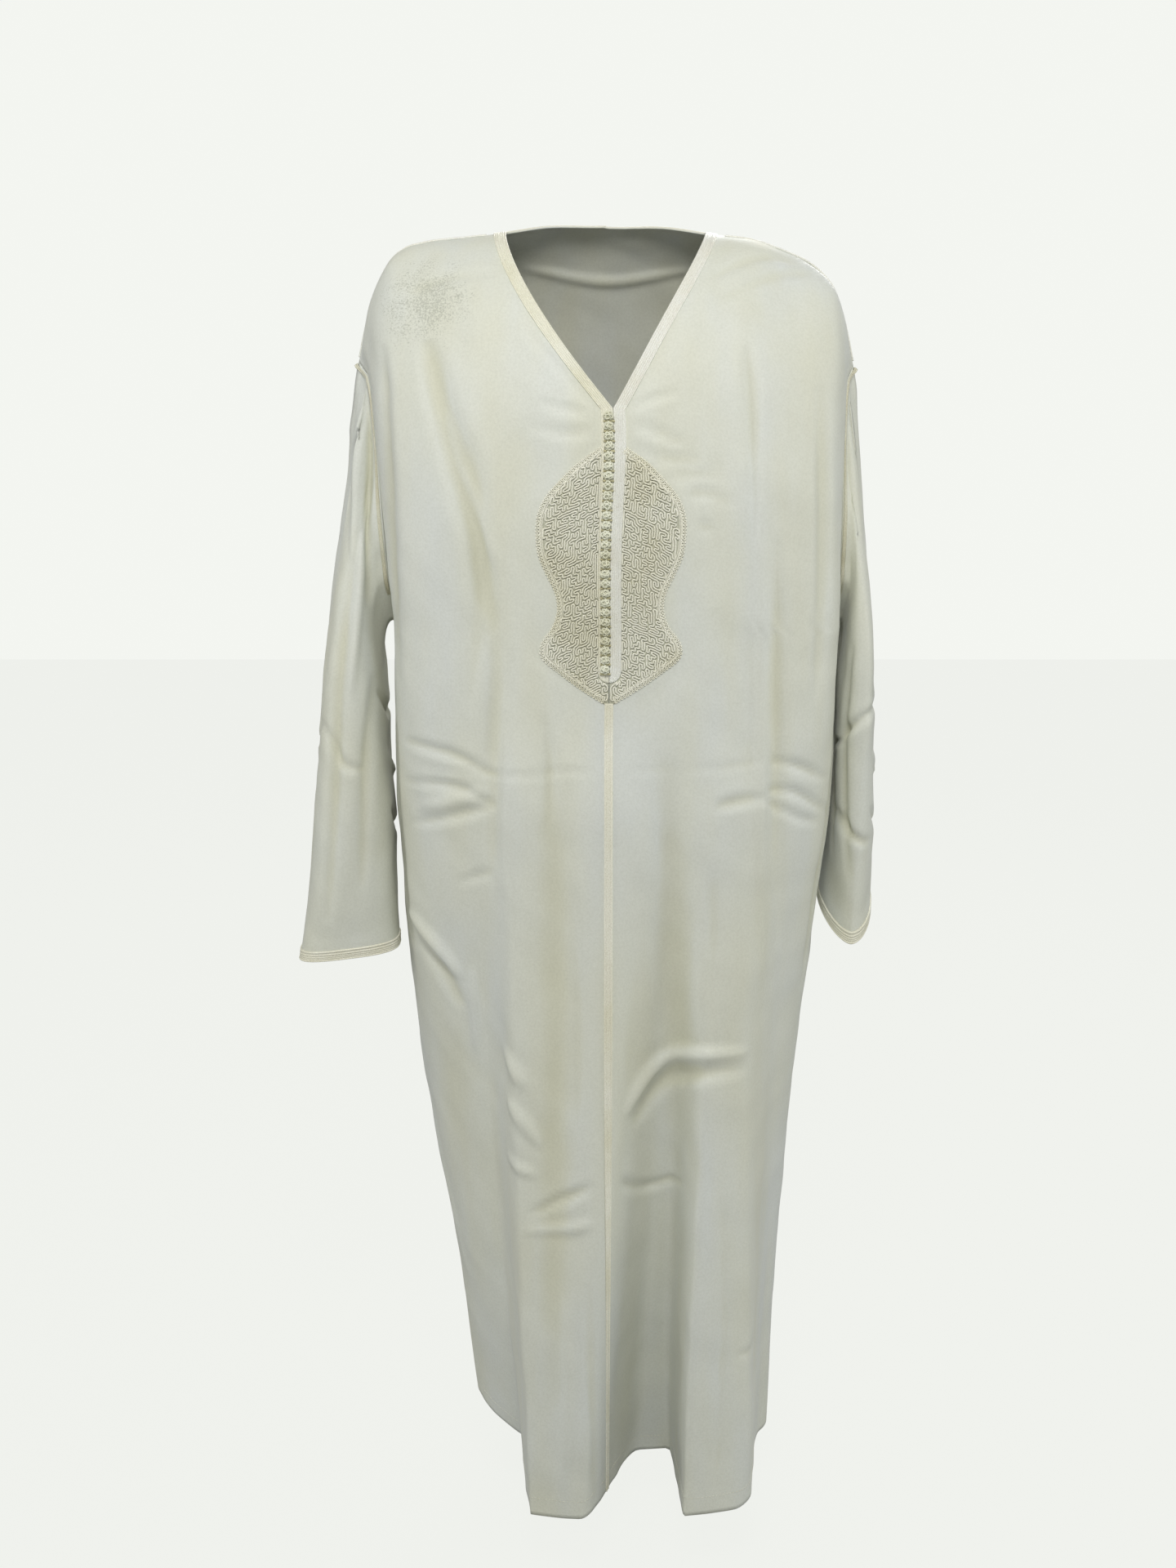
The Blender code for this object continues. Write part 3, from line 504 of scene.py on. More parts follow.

# %% [markdown]
# ## Creases
# Worn cloth is never smooth: it is pressed in the cupboard, pulled at the armhole and bunched at the hip.
# A cloth simulation would make creases, but not these ones. So each main crease is a short route laid on
# one side of the robe, with a width and a height. A trough has a negative height and gets a soft lip along
# both edges, as bent cloth has. Low waves of many lengths then break up what is still too even.

# %% Tables of creases, as seen from the front, the back, the left and the right
Crease = namedtuple("Crease", "side width lift route")
CREASES = [
    Crease("front", 0.004, -0.0012, [(-0.222, -0.536), (-0.116, -0.541), (-0.017, -0.534), (0.076, -0.534)]),
    Crease("front", 0.005, -0.0010, [(0.076, -0.534), (0.125, -0.532), (0.165, -0.527)]),
    Crease("front", 0.016, -0.0070, [(-0.180, -0.105), (-0.166, -0.170), (-0.143, -0.250), (-0.113, -0.40)]),
    Crease("front", 0.008, 0.0040, [(-0.162, -0.175), (-0.150, -0.222), (-0.135, -0.260), (-0.110, -0.33)]),
    Crease("front", 0.010, -0.0045, [(-0.226, -0.110), (-0.224, -0.220), (-0.222, -0.330), (-0.218, -0.460)]),
    Crease("front", 0.010, -0.0040, [(0.214, -0.150), (0.220, -0.260), (0.222, -0.360), (0.218, -0.470)]),
    Crease("front", 0.008, -0.0030, [(0.140, -0.110), (0.146, -0.170), (0.150, -0.300)]),
    Crease("front", 0.014, -0.0045, [(-0.115, -0.36), (-0.113, -0.438), (-0.116, -0.54), (-0.120, -0.66)]),
    Crease("front", 0.007, -0.0035, [(-0.213, -0.515), (-0.162, -0.522), (-0.116, -0.541)]),
    Crease("front", 0.006, -0.0030, [(-0.214, -0.560), (-0.160, -0.556), (-0.113, -0.573)]),
    Crease("front", 0.007, -0.0030, [(-0.208, -0.605), (-0.151, -0.586), (-0.116, -0.573)]),
    Crease("front", 0.008, 0.0025, [(-0.200, -0.585), (-0.150, -0.570), (-0.119, -0.556)]),
    Crease("front", 0.006, -0.0020, [(-0.156, -0.662), (-0.118, -0.643)]),
    Crease("front", 0.009, 0.0045, [(-0.213, -0.707), (-0.182, -0.739), (-0.155, -0.771)]),
    Crease("front", 0.010, -0.0035, [(-0.200, -0.735), (-0.175, -0.765), (-0.155, -0.805)]),
    Crease("front", 0.007, 0.0030, [(-0.143, -0.758), (-0.140, -0.854)]),
    Crease("front", 0.007, -0.0030, [(0.170, -0.528), (0.203, -0.540), (0.235, -0.560)]),
    Crease("front", 0.006, -0.0030, [(0.164, -0.560), (0.197, -0.566), (0.239, -0.598)]),
    Crease("front", 0.006, -0.0025, [(0.159, -0.566), (0.198, -0.592), (0.227, -0.605)]),
    Crease("front", 0.008, -0.0030, [(0.111, -0.573), (0.135, -0.568), (0.165, -0.566)]),
    Crease("front", 0.009, 0.0055, [(0.018, -0.912), (0.049, -0.867), (0.094, -0.842), (0.152, -0.842)]),
    Crease("front", 0.010, -0.0040, [(0.030, -0.925), (0.060, -0.885), (0.100, -0.862), (0.150, -0.860)]),
    Crease("front", 0.007, -0.0035, [(0.004, -0.970), (0.041, -1.002), (0.083, -0.995)]),
    Crease("front", 0.008, 0.0035, [(-0.107, -0.835), (-0.085, -0.874)]),
    Crease("front", 0.008, 0.0040, [(-0.103, -0.886), (-0.070, -0.938)]),
    Crease("front", 0.007, 0.0030, [(-0.104, -0.957), (-0.074, -0.970)]),
    Crease("front", 0.007, -0.0035, [(-0.083, -1.014), (-0.034, -0.989), (0.004, -0.970)]),
    Crease("front", 0.007, 0.0030, [(-0.087, -1.032), (-0.033, -1.026), (0.004, -1.010)]),
    Crease("front", 0.005, -0.0016, [(0.017, -0.174), (0.041, -0.164), (0.073, -0.156)]),
    Crease("front", 0.005, -0.0018, [(0.017, -0.189), (0.045, -0.193), (0.077, -0.206)]),
    Crease("front", 0.006, -0.0018, [(0.018, -0.204), (0.053, -0.220), (0.093, -0.223)]),
    Crease("front", 0.006, -0.0016, [(0.044, -0.243), (0.074, -0.237), (0.110, -0.239)]),
    Crease("front", 0.006, -0.0018, [(0.073, -0.261), (0.095, -0.255), (0.130, -0.266)]),
    Crease("front", 0.006, -0.0016, [(0.083, -0.283), (0.110, -0.293)]),
    Crease("front", 0.005, -0.0014, [(-0.005, -0.177), (-0.033, -0.174), (-0.070, -0.166)]),
    Crease("front", 0.006, -0.0016, [(-0.005, -0.188), (-0.035, -0.196), (-0.083, -0.189)]),
    Crease("front", 0.008, -0.0016, [(-0.082, -0.094), (-0.050, -0.125), (-0.017, -0.156)]),
    Crease("front", 0.007, -0.0012, [(-0.067, -0.109), (-0.034, -0.147), (-0.008, -0.172)]),
    Crease("front", 0.007, -0.0022, [(0.092, -0.051), (0.154, -0.024), (0.206, -0.030)]),
    Crease("front", 0.008, -0.0020, [(0.111, -0.067), (0.170, -0.042), (0.215, -0.037)]),
    Crease("front", 0.008, -0.0018, [(-0.110, -0.040), (-0.160, -0.045), (-0.205, -0.060)]),
    Crease("front", 0.007, 0.0032, [(0.154, -0.254), (0.157, -0.419), (0.160, -0.586), (0.166, -0.760)]),
    Crease("front", 0.009, -0.0040, [(0.172, -0.30), (0.175, -0.44), (0.178, -0.60), (0.182, -0.74)]),
    Crease("front", 0.018, 0.0040, [(-0.100, -0.46), (-0.096, -0.66), (-0.092, -0.90), (-0.090, -1.20)]),
    Crease("front", 0.022, -0.0045, [(-0.060, -0.50), (-0.052, -0.72), (-0.055, -1.00), (-0.062, -1.30)]),
    Crease("front", 0.024, -0.0040, [(0.060, -0.52), (0.070, -0.70), (0.078, -0.90), (0.070, -1.20)]),
    Crease("front", 0.012, -0.0030, [(-0.135, -0.20), (-0.128, -0.34), (-0.140, -0.48)]),
    Crease("front", 0.006, -0.0018, [(0.143, -1.181), (0.168, -1.185)]),
    Crease("front", 0.007, -0.0022, [(-0.067, -0.477), (-0.059, -0.522), (-0.061, -0.600)]),
    Crease("front", 0.009, -0.0022, [(-0.035, -0.66), (-0.028, -0.80), (-0.030, -0.95)]),
    Crease("front", 0.010, -0.0026, [(0.110, -0.65), (0.112, -0.74), (0.106, -0.83)]),
    Crease("front", 0.007, 0.0022, [(-0.045, -1.10), (-0.040, -1.22), (-0.048, -1.35)]),
    Crease("front", 0.010, -0.0030, [(-0.015, -1.06), (-0.012, -1.20), (-0.010, -1.35)]),
    Crease("front", 0.008, -0.0024, [(0.125, -1.00), (0.128, -1.15), (0.122, -1.34)]),
]
HIDDEN_CREASES = [
    Crease("back", 0.016, -0.0060, [(-0.165, -0.12), (-0.150, -0.26), (-0.120, -0.42), (-0.105, -0.60)]),
    Crease("back", 0.016, -0.0055, [(0.170, -0.13), (0.150, -0.28), (0.128, -0.45), (0.120, -0.64)]),
    Crease("back", 0.012, 0.0030, [(-0.070, -0.20), (-0.060, -0.40), (-0.055, -0.62)]),
    Crease("back", 0.012, 0.0026, [(0.075, -0.22), (0.060, -0.42), (0.062, -0.60)]),
    Crease("back", 0.004, -0.0012, [(-0.220, -0.530), (-0.100, -0.538), (0.020, -0.534), (0.130, -0.540), (0.225, -0.528)]),
    Crease("back", 0.007, -0.0024, [(-0.090, -0.030), (0.000, -0.045), (0.095, -0.032)]),
    Crease("back", 0.007, -0.0026, [(-0.210, -0.575), (-0.150, -0.590), (-0.100, -0.575)]),
    Crease("back", 0.007, -0.0024, [(-0.190, -0.620), (-0.140, -0.640), (-0.110, -0.630)]),
    Crease("back", 0.007, -0.0026, [(0.215, -0.565), (0.160, -0.590), (0.110, -0.580)]),
    Crease("back", 0.008, 0.0032, [(-0.060, -0.86), (-0.015, -0.83), (0.035, -0.845), (0.080, -0.88)]),
    Crease("back", 0.008, -0.0030, [(-0.100, -1.02), (-0.060, -1.00), (-0.020, -1.03)]),
    Crease("back", 0.008, -0.0030, [(0.050, -0.98), (0.090, -0.95), (0.130, -0.97)]),
    Crease("back", 0.010, -0.0030, [(0.068, -1.05), (0.066, -1.20), (0.070, -1.35)]),
    Crease("left", 0.010, -0.0030, [(-0.060, -0.50), (-0.050, -0.62), (-0.055, -0.75)]),
    Crease("left", 0.008, -0.0024, [(0.050, -0.46), (0.055, -0.60), (0.060, -0.78)]),
    Crease("left", 0.008, 0.0022, [(-0.020, -0.86), (-0.030, -1.00), (-0.045, -1.15)]),
    Crease("right", 0.010, -0.0030, [(-0.050, -0.52), (-0.055, -0.66), (-0.050, -0.80)]),
    Crease("right", 0.008, -0.0024, [(0.055, -0.50), (0.060, -0.66), (0.070, -0.82)]),
    Crease("right", 0.008, 0.0022, [(0.020, -0.90), (0.030, -1.05), (0.045, -1.20)]),
]
SLEEVE_CREASES = [
    Crease("front", 0.007, -0.0060, [(-0.245, -0.130), (-0.247, -0.240), (-0.250, -0.380)]),
    Crease("front", 0.006, 0.0040, [(-0.257, -0.150), (-0.262, -0.250), (-0.266, -0.330)]),
    Crease("front", 0.006, -0.0050, [(0.240, -0.130), (0.248, -0.240), (0.252, -0.360)]),
    Crease("front", 0.006, 0.0030, [(-0.255, -0.300), (-0.262, -0.400), (-0.268, -0.470)]),
    Crease("front", 0.010, -0.0050, [(-0.265, -0.33), (-0.280, -0.45), (-0.290, -0.60), (-0.300, -0.72)]),
    Crease("front", 0.008, -0.0035, [(-0.245, -0.45), (-0.255, -0.56), (-0.262, -0.68)]),
    Crease("front", 0.007, -0.0030, [(-0.300, -0.50), (-0.280, -0.54), (-0.255, -0.55)]),
    Crease("left", 0.010, -0.0045, [(0.000, -0.20), (0.010, -0.34), (0.000, -0.50), (-0.015, -0.66)]),
    Crease("left", 0.008, -0.0035, [(-0.050, -0.42), (-0.040, -0.54), (-0.045, -0.68)]),
    Crease("left", 0.008, -0.0035, [(0.060, -0.38), (0.045, -0.50), (0.020, -0.62)]),
    Crease("left", 0.006, -0.0030, [(-0.060, -0.50), (-0.020, -0.53), (0.030, -0.52)]),
    Crease("front", 0.007, -0.0040, [(0.248, -0.600), (0.265, -0.628), (0.290, -0.640)]),
    Crease("front", 0.007, -0.0035, [(0.250, -0.520), (0.270, -0.500), (0.292, -0.485)]),
    Crease("right", 0.010, -0.0045, [(0.020, -0.20), (0.030, -0.34), (0.040, -0.50), (0.040, -0.64)]),
    Crease("right", 0.008, -0.0040, [(-0.045, -0.47), (0.000, -0.50), (0.060, -0.49)]),
    Crease("right", 0.008, -0.0040, [(-0.040, -0.60), (0.010, -0.63), (0.070, -0.60)]),
    Crease("right", 0.007, 0.0030, [(-0.030, -0.54), (0.020, -0.57), (0.080, -0.55)]),
    Crease("back", 0.008, -0.0035, [(-0.260, -0.40), (-0.275, -0.52), (-0.285, -0.66)]),
    Crease("back", 0.007, -0.0030, [(0.262, -0.42), (0.275, -0.52), (0.270, -0.64)]),
]
print(len(CREASES) + len(HIDDEN_CREASES) + len(SLEEVE_CREASES), "creases laid by hand")

# %% Lay the creases and the low waves on any set of points
CREASE_GAIN = 1.5
CREASE_WIDTH = 0.75
VIEWS = {
    "front": (0, np.array([0, -1, 0])),
    "back": (0, np.array([0, 1, 0])),
    "left": (1, np.array([-1, 0, 0])),
    "right": (1, np.array([1, 0, 0])),
}


def soft_route(route, count=20):
    """A smooth curve through a few points of the plane."""
    route = np.array(route)
    at = np.linspace(0, len(route) - 1, count)
    slopes = np.gradient(route, axis=0)
    i = np.minimum(at.astype(int), len(route) - 2)
    t = (at - i)[:, None]
    return (
        (2 * t**3 - 3 * t**2 + 1) * route[i]
        + (t**3 - 2 * t**2 + t) * slopes[i]
        + (3 * t**2 - 2 * t**3) * route[i + 1]
        + (t**3 - t**2) * slopes[i + 1]
    )


def crease_lift(points, normals, creases):
    """How far the creases lift points of the cloth along their normals."""
    lift = np.zeros(len(points))
    for crease in creases:
        axis, facing = VIEWS[crease.side]
        route = soft_route(crease.route)
        reach = 4 * crease.width
        flat = points[:, [axis, 2]]
        toward = normals @ facing
        near = np.all((flat > route.min(0) - reach) & (flat < route.max(0) + reach), axis=1) & (toward > 0.05)
        p = flat[near]
        start, step = route[:-1], np.diff(route, axis=0)
        t = np.clip(((p[:, None] - start) * step).sum(2) / (step**2).sum(1), 0.0, 1.0)
        gap = np.linalg.norm(p[:, None] - start - t[..., None] * step, axis=2)
        k = gap.argmin(axis=1)
        rows = np.arange(len(p))
        along = (k + t[rows, k]) / len(step)
        fade = np.sin(math.pi * np.clip(along, 0.0, 1.0)) ** 0.5
        width = CREASE_WIDTH * crease.width * (0.6 + 0.5 * fade)
        d = gap[rows, k] / width
        profile = np.exp(-(d**2)) - 0.3 * np.exp(-((d / 2.2) ** 2))
        lift[near] += CREASE_GAIN * crease.lift * fade * profile * smooth(toward[near] / 0.4)
    return lift


def waves(points, seed, longest, shortest, height, count=28):
    """Low waves of many lengths and directions."""
    pick = random.Random(seed)
    lift = np.zeros(len(points))
    for _ in range(count):
        length = longest * (shortest / longest) ** pick.random()
        way = np.array([pick.gauss(0, 1), pick.gauss(0, 1), 0.7 * pick.gauss(0, 1)])
        phase = points @ (way / np.linalg.norm(way)) * 2 * math.pi / length + pick.random() * 2 * math.pi
        lift += np.sin(phase) * height * length / longest
    return lift / math.sqrt(count)


def creased(points, normals, creases, hold=1.0):
    """A grid of points with creases and waves, and their lifts. Where hold is 0, the cloth stays put."""
    flat, out = points.reshape(-1, 3), normals.reshape(-1, 3)
    lift = crease_lift(flat, out, creases) + waves(flat, 5, 0.16, 0.025, 0.0022)
    lift = lift.reshape(points.shape[:2]) * hold
    return points + normals * lift[..., None], lift


print("one point of the left hip is lifted by", crease_lift(np.array([[-0.16, -0.12, -0.522]]), np.array([[0, -1.0, 0]]), CREASES))

# %% [markdown]
# ## Crepe with a satin back
# The cloth is a thin cream crepe. Close up it is a plain weave of fine, tightly twisted threads, and from
# a step away it has a soft, slightly greenish sheen. The warmer, darker tone in the troughs of its creases is
# painted shade, laid into the colour, and its slow warm and cool streaks mix the cloth's own random tone with
# painted shade and painted light, as on long folds. A photo texture would give that from one side only, so the
# weave is worked out from the cloth's own UV map, in metres, and the tone from slow noise in object space. The
# weave is a node group, because the braid uses it too.


# %% A small helper to add and link shader nodes
def add_node(tree, kind, inputs=(), **settings):
    """Adds one node: settings are its properties, and inputs are pairs of a socket and a value or a link."""
    node = tree.nodes.new(kind)
    for name, value in settings.items():
        setattr(node, name, value)
    for socket, value in inputs:
        if isinstance(value, bpy.types.NodeSocket):
            tree.links.new(value, node.inputs[socket])
        else:
            node.inputs[socket].default_value = value
    return node


def ramp(tree, factor, stops):
    """A colour ramp with stops of (position, colour)."""
    node = add_node(tree, "ShaderNodeValToRGB", [(0, factor)])
    band = node.color_ramp
    while len(band.elements) < len(stops):
        band.elements.new(0.5)
    for element, (position, colour) in zip(band.elements, stops):
        element.position = position
        element.color = (*colour, 1.0)
    return node.outputs["Color"]


print("node helpers ready")


# %% The weave, as a node group
def weave_group():
    """A plain weave: its height, and a mask of the gaps between threads."""
    group = bpy.data.node_groups.new("plain weave", "ShaderNodeTree")
    group.interface.new_socket("Vector", in_out="INPUT", socket_type="NodeSocketVector")
    group.interface.new_socket("Threads", in_out="INPUT", socket_type="NodeSocketFloat")
    group.interface.new_socket("Height", in_out="OUTPUT", socket_type="NodeSocketFloat")
    group.interface.new_socket("Gaps", in_out="OUTPUT", socket_type="NodeSocketFloat")
    entry = group.nodes.new("NodeGroupInput")
    leave = group.nodes.new("NodeGroupOutput")
    bend = add_node(group, "ShaderNodeTexNoise", [("Vector", entry.outputs["Vector"]), ("Scale", 260.0), ("Detail", 2.0)])
    place = add_node(
        group, "ShaderNodeVectorMath", [(0, entry.outputs["Vector"]), ("Scale", entry.outputs["Threads"])], operation="SCALE"
    )
    shift = add_node(group, "ShaderNodeVectorMath", [(0, bend.outputs["Color"]), ("Scale", 1.6)], operation="SCALE")
    moved = add_node(group, "ShaderNodeVectorMath", [(0, place.outputs[0]), (1, shift.outputs[0])], operation="ADD")
    axes = add_node(group, "ShaderNodeSeparateXYZ", [(0, moved.outputs[0])])
    warp = add_node(group, "ShaderNodeMath", [(0, axes.outputs["X"])], operation="SINE")
    weft = add_node(group, "ShaderNodeMath", [(0, axes.outputs["Y"])], operation="SINE")
    cross = add_node(group, "ShaderNodeMath", [(0, warp.outputs[0]), (1, weft.outputs[0])], operation="MULTIPLY")
    deep = add_node(group, "ShaderNodeMath", [(0, cross.outputs[0])], operation="ABSOLUTE")
    group.links.new(cross.outputs[0], leave.inputs["Height"])
    gaps = add_node(group, "ShaderNodeMath", [(0, 1.0), (1, deep.outputs[0])], operation="SUBTRACT")
    group.links.new(gaps.outputs[0], leave.inputs["Gaps"])
    return group


WEAVE = weave_group()
print("weave group with", len(WEAVE.nodes), "nodes")


# %% The cloth's material
# the slow streaks run between a warm tone that is painted shade and a cool tone that is painted light, as on long
# folds; the middle tone is the cloth's own
CLOTH_LIGHT = (0.700, 0.713, 0.632)
CLOTH_STREAK_WARM_SHADE = (0.688, 0.692, 0.582)
CLOTH_STREAK_COOL_LIGHT = (0.695, 0.717, 0.676)
# painted shade: the warm olive colour that the troughs of the creases take on
CLOTH_TROUGH_SHADE = (0.630, 0.622, 0.470, 1.0)
STAIN_PLACE = (-0.182, -0.075, -0.066)
STAIN_SIZE = 0.042


def cloth_material(name, stained=False):
    """The crepe: weave, slow tone with streaks of painted warm shade and painted cool light, painted shade in the
    crease troughs, a soft sheen and, on one shoulder, a dull speckled patch.
    """
    material = bpy.data.materials.new(name)
    material.use_nodes = True
    tree = material.node_tree
    shader = tree.nodes["Principled BSDF"]
    coords = tree.nodes.new("ShaderNodeTexCoord")
    weave = add_node(tree, "ShaderNodeGroup", node_tree=WEAVE)
    tree.links.new(coords.outputs["UV"], weave.inputs["Vector"])
    weave.inputs["Threads"].default_value = 7000.0
    # painted shade and painted light: slow upright streaks, laid at random, between the warm shaded tone and the cool
    # lit tone
    hang = add_node(tree, "ShaderNodeMapping", [("Vector", coords.outputs["Object"]), ("Scale", (1.0, 1.0, 0.2))])
    slow = add_node(tree, "ShaderNodeTexNoise", [("Vector", hang.outputs[0]), ("Scale", 15.0), ("Detail", 2.0)])
    painted_fold_streaks = ramp(tree, slow.outputs["Fac"], [(0.32, CLOTH_STREAK_WARM_SHADE), (0.50, CLOTH_LIGHT), (0.68, CLOTH_STREAK_COOL_LIGHT)])
    # painted shade: the deeper a crease's trough, the more its colour turns to the olive shade colour
    crease_trough_shade = add_node(tree, "ShaderNodeAttribute", attribute_name="crease_trough_shade")
    depth = add_node(
        tree, "ShaderNodeMapRange", [("Value", crease_trough_shade.outputs["Fac"]), (1, 0.45), (2, 1.0), (3, 0.0), (4, 0.65)]
    )
    tone = add_node(
        tree, "ShaderNodeMix", [(0, depth.outputs[0]), (6, painted_fold_streaks), (7, CLOTH_TROUGH_SHADE)], data_type="RGBA"
    ).outputs[2]
    slub = add_node(
        tree, "ShaderNodeTexNoise", [("Vector", coords.outputs["Object"]), ("Scale", 420.0), ("Detail", 3.0)]
    )
    grain = ramp(tree, slub.outputs["Fac"], [(0.30, (0.93, 0.93, 0.92)), (0.65, (1.0, 1.0, 1.0))])
    colour = add_node(tree, "ShaderNodeMix", [(0, 1.0), (6, tone), (7, grain)], data_type="RGBA", blend_type="MULTIPLY")
    colour = colour.outputs[2]
    if stained:
        away = add_node(
            tree, "ShaderNodeVectorMath", [(0, coords.outputs["Object"]), (1, STAIN_PLACE)], operation="DISTANCE"
        )
        drift = add_node(
            tree, "ShaderNodeTexNoise", [("Vector", coords.outputs["Object"]), ("Scale", 55.0), ("Detail", 3.0)]
        )
        ragged = add_node(
            tree, "ShaderNodeMath", [(0, drift.outputs["Fac"]), (1, 0.075), (2, away.outputs["Value"])],
            operation="MULTIPLY_ADD",
        )
        near = add_node(
            tree, "ShaderNodeMapRange", [("Value", ragged.outputs[0]), (1, 0.102), (2, 0.052), (3, 0.30), (4, 0.58)]
        )
        speck = add_node(
            tree, "ShaderNodeTexNoise", [("Vector", coords.outputs["Object"]), ("Scale", 620.0), ("Detail", 3.0)]
        )
        over = add_node(
            tree, "ShaderNodeMath", [(0, speck.outputs["Fac"]), (1, near.outputs[0])], operation="ADD"
        )
        mask = add_node(tree, "ShaderNodeMapRange", [("Value", over.outputs[0]), (1, 0.96), (2, 1.18), (3, 0.0), (4, 0.62)])
        soiled = add_node(
            tree, "ShaderNodeMix", [(0, mask.outputs[0]), (6, colour), (7, (0.36, 0.37, 0.30, 1.0))], data_type="RGBA"
        )
        colour = soiled.outputs[2]
    tree.links.new(colour, shader.inputs["Base Color"])
    shader.inputs["Roughness"].default_value = 0.50
    shader.inputs["Specular IOR Level"].default_value = 0.45
    shader.inputs["Sheen Weight"].default_value = 0.12
    shader.inputs["Sheen Roughness"].default_value = 0.45
    fine = add_node(
        tree, "ShaderNodeBump", [("Height", weave.outputs["Height"]), ("Strength", 0.22), ("Distance", 0.00012)]
    )
    pebble = add_node(
        tree,
        "ShaderNodeBump",
        [("Height", slub.outputs["Fac"]), ("Strength", 0.22), ("Distance", 0.0006), ("Normal", fine.outputs[0])],
    )
    tree.links.new(pebble.outputs[0], shader.inputs["Normal"])
    return material


CREPE = cloth_material("crepe")
CREPE_STAINED = cloth_material("crepe with a dull patch", stained=True)
print("cloth materials:", CREPE.name, "and", CREPE_STAINED.name)

# %% [markdown]
# ## The panels of cloth
# Each panel is one open sheet that lies on its plain solid, follows the creases, and gets its thickness
# from Solidify, inwards. A grid is the natural start for cut cloth: its rows run across and its columns
# down, so its UV map can hold real lengths, and the weave keeps one scale everywhere.


# %% Make a cloth piece from a grid of points
def grid_piece(name, points, normals, material, closed=False, caps=False, lift=None):
    """A mesh through a grid of points, with a UV map in metres and faces that point outwards. The lift of
    each point is kept as an attribute that runs from 0 on a ridge to 1 in a trough, which the cloth
    material uses to paint shade into the troughs of the creases."""
    # painted shade: 0 on ridges up to 1 in the troughs of the creases, for the material's painted shade
    crease_trough_shade = np.zeros(points.shape[:2]) if lift is None else np.clip(0.35 - lift / 0.008, 0.0, 1.0)
    if closed:
        points = np.concatenate([points, points[:, :1]], axis=1)
        normals = np.concatenate([normals, normals[:, :1]], axis=1)
        crease_trough_shade = np.concatenate([crease_trough_shade, crease_trough_shade[:, :1]], axis=1)
    rows, columns = points.shape[:2]
    mesh = bmesh.new()
    uv = mesh.loops.layers.uv.new("lengths")
    trough_shade_layer = mesh.verts.layers.float.new("crease_trough_shade")
    verts = bmesh.ops.create_grid(mesh, x_segments=columns - 1, y_segments=rows - 1, size=1.0)["verts"]
    across = np.concatenate([[0.0], np.cumsum(np.linalg.norm(np.diff(points, axis=1), axis=2).mean(0))])
    down = np.concatenate([[0.0], np.cumsum(np.linalg.norm(np.diff(points, axis=0), axis=2).mean(1))])
    for vertex, place, deep in zip(verts, points.reshape(-1, 3), crease_trough_shade.ravel()):
        vertex.co = place
        vertex[trough_shade_layer] = deep
    mesh.verts.index_update()
    for face in mesh.faces:
        for loop in face.loops:
            r, c = divmod(loop.vert.index, columns)
            loop[uv].uv = (across[c], down[r])
    mesh.normal_update()
    sample = mesh.faces[:] [:: max(1, len(mesh.faces) // 400)]
    flat = normals.reshape(-1, 3)
    facing = sum(face.normal.dot(flat[face.verts[0].index]) for face in sample)
    if facing < 0:
        bmesh.ops.reverse_faces(mesh, faces=mesh.faces)
    if closed:
        bmesh.ops.remove_doubles(mesh, verts=mesh.verts, dist=0.000001)
    if caps:
        bmesh.ops.holes_fill(mesh, edges=[edge for edge in mesh.edges if edge.is_boundary], sides=0)
    area = sum(face.calc_area() for face in mesh.faces)
    data = bpy.data.meshes.new(name)
    mesh.to_mesh(data)
    mesh.free()
    data.shade_smooth()
    data.materials.append(material)
    piece = bpy.data.objects.new(name, data)
    bpy.context.scene.collection.objects.link(piece)
    return piece, area


def thicken(piece, thickness):
    wall = piece.modifiers.new("cloth thickness", "SOLIDIFY")
    wall.thickness = thickness
    wall.offset = -1.0
    return piece


def settle(piece, slot_name, *nodes):
    """Ties a piece to the robe's one body and hides the plain solids that it stands for; its slot name is not used."""
    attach(piece, "root")
    if nodes:
        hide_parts(*nodes)
    return piece


print("cloth maker ready")


# %% Keep the cloth calm beside its sewn edges and under the chest field
def gap_along(points, axis, backwards=False):
    """Distances along the rows or columns of a grid, from its first or last point."""
    steps = np.linalg.norm(np.diff(points, axis=axis), axis=2)
    if backwards:
        steps = np.flip(steps, axis)
    total = np.cumsum(steps, axis=axis)
    total = np.concatenate([np.zeros_like(np.take(total, [0], axis=axis)), total], axis=axis)
    return np.flip(total, axis) if backwards else total


def calm(distance, flat, fade=0.02):
    return smooth((distance - flat) / fade)


CUTS = {}
for side, word in ((-1, "left"), (1, "right")):
    a, v = front_panel(side, PANEL_ROWS, 92)
    base, out = body(-1, a, v), outward(-1, a, v)
    inner = gap_along(base, 1)
    field = np.interp(base[..., 2], [FIELD_BOTTOM - 0.02, FIELD_BOTTOM, FIELD_TOP, FIELD_TOP + 0.02], [-0.02, 0, 0, -0.02])
    field = field + np.interp(-base[..., 2], [-row.z for row in FIELD], [row.half for row in FIELD])
    hold = calm(inner, 0.0125) * calm(inner, field) * (0.1 + 0.9 * calm(gap_along(base, 1, True), 0.001))
    hold = hold * calm(gap_along(base, 0, True), 0.001)
    points, lift = creased(base, out, CREASES + HIDDEN_CREASES, hold)
    cloth = CREPE_STAINED if side < 0 else CREPE
    piece, area = grid_piece(f"cloth_front_{word}", points, out, cloth, lift=lift)
    settle(thicken(piece, CLOTH), "robe_cloth", f"front_{word}")
    CUTS[piece.name] = area

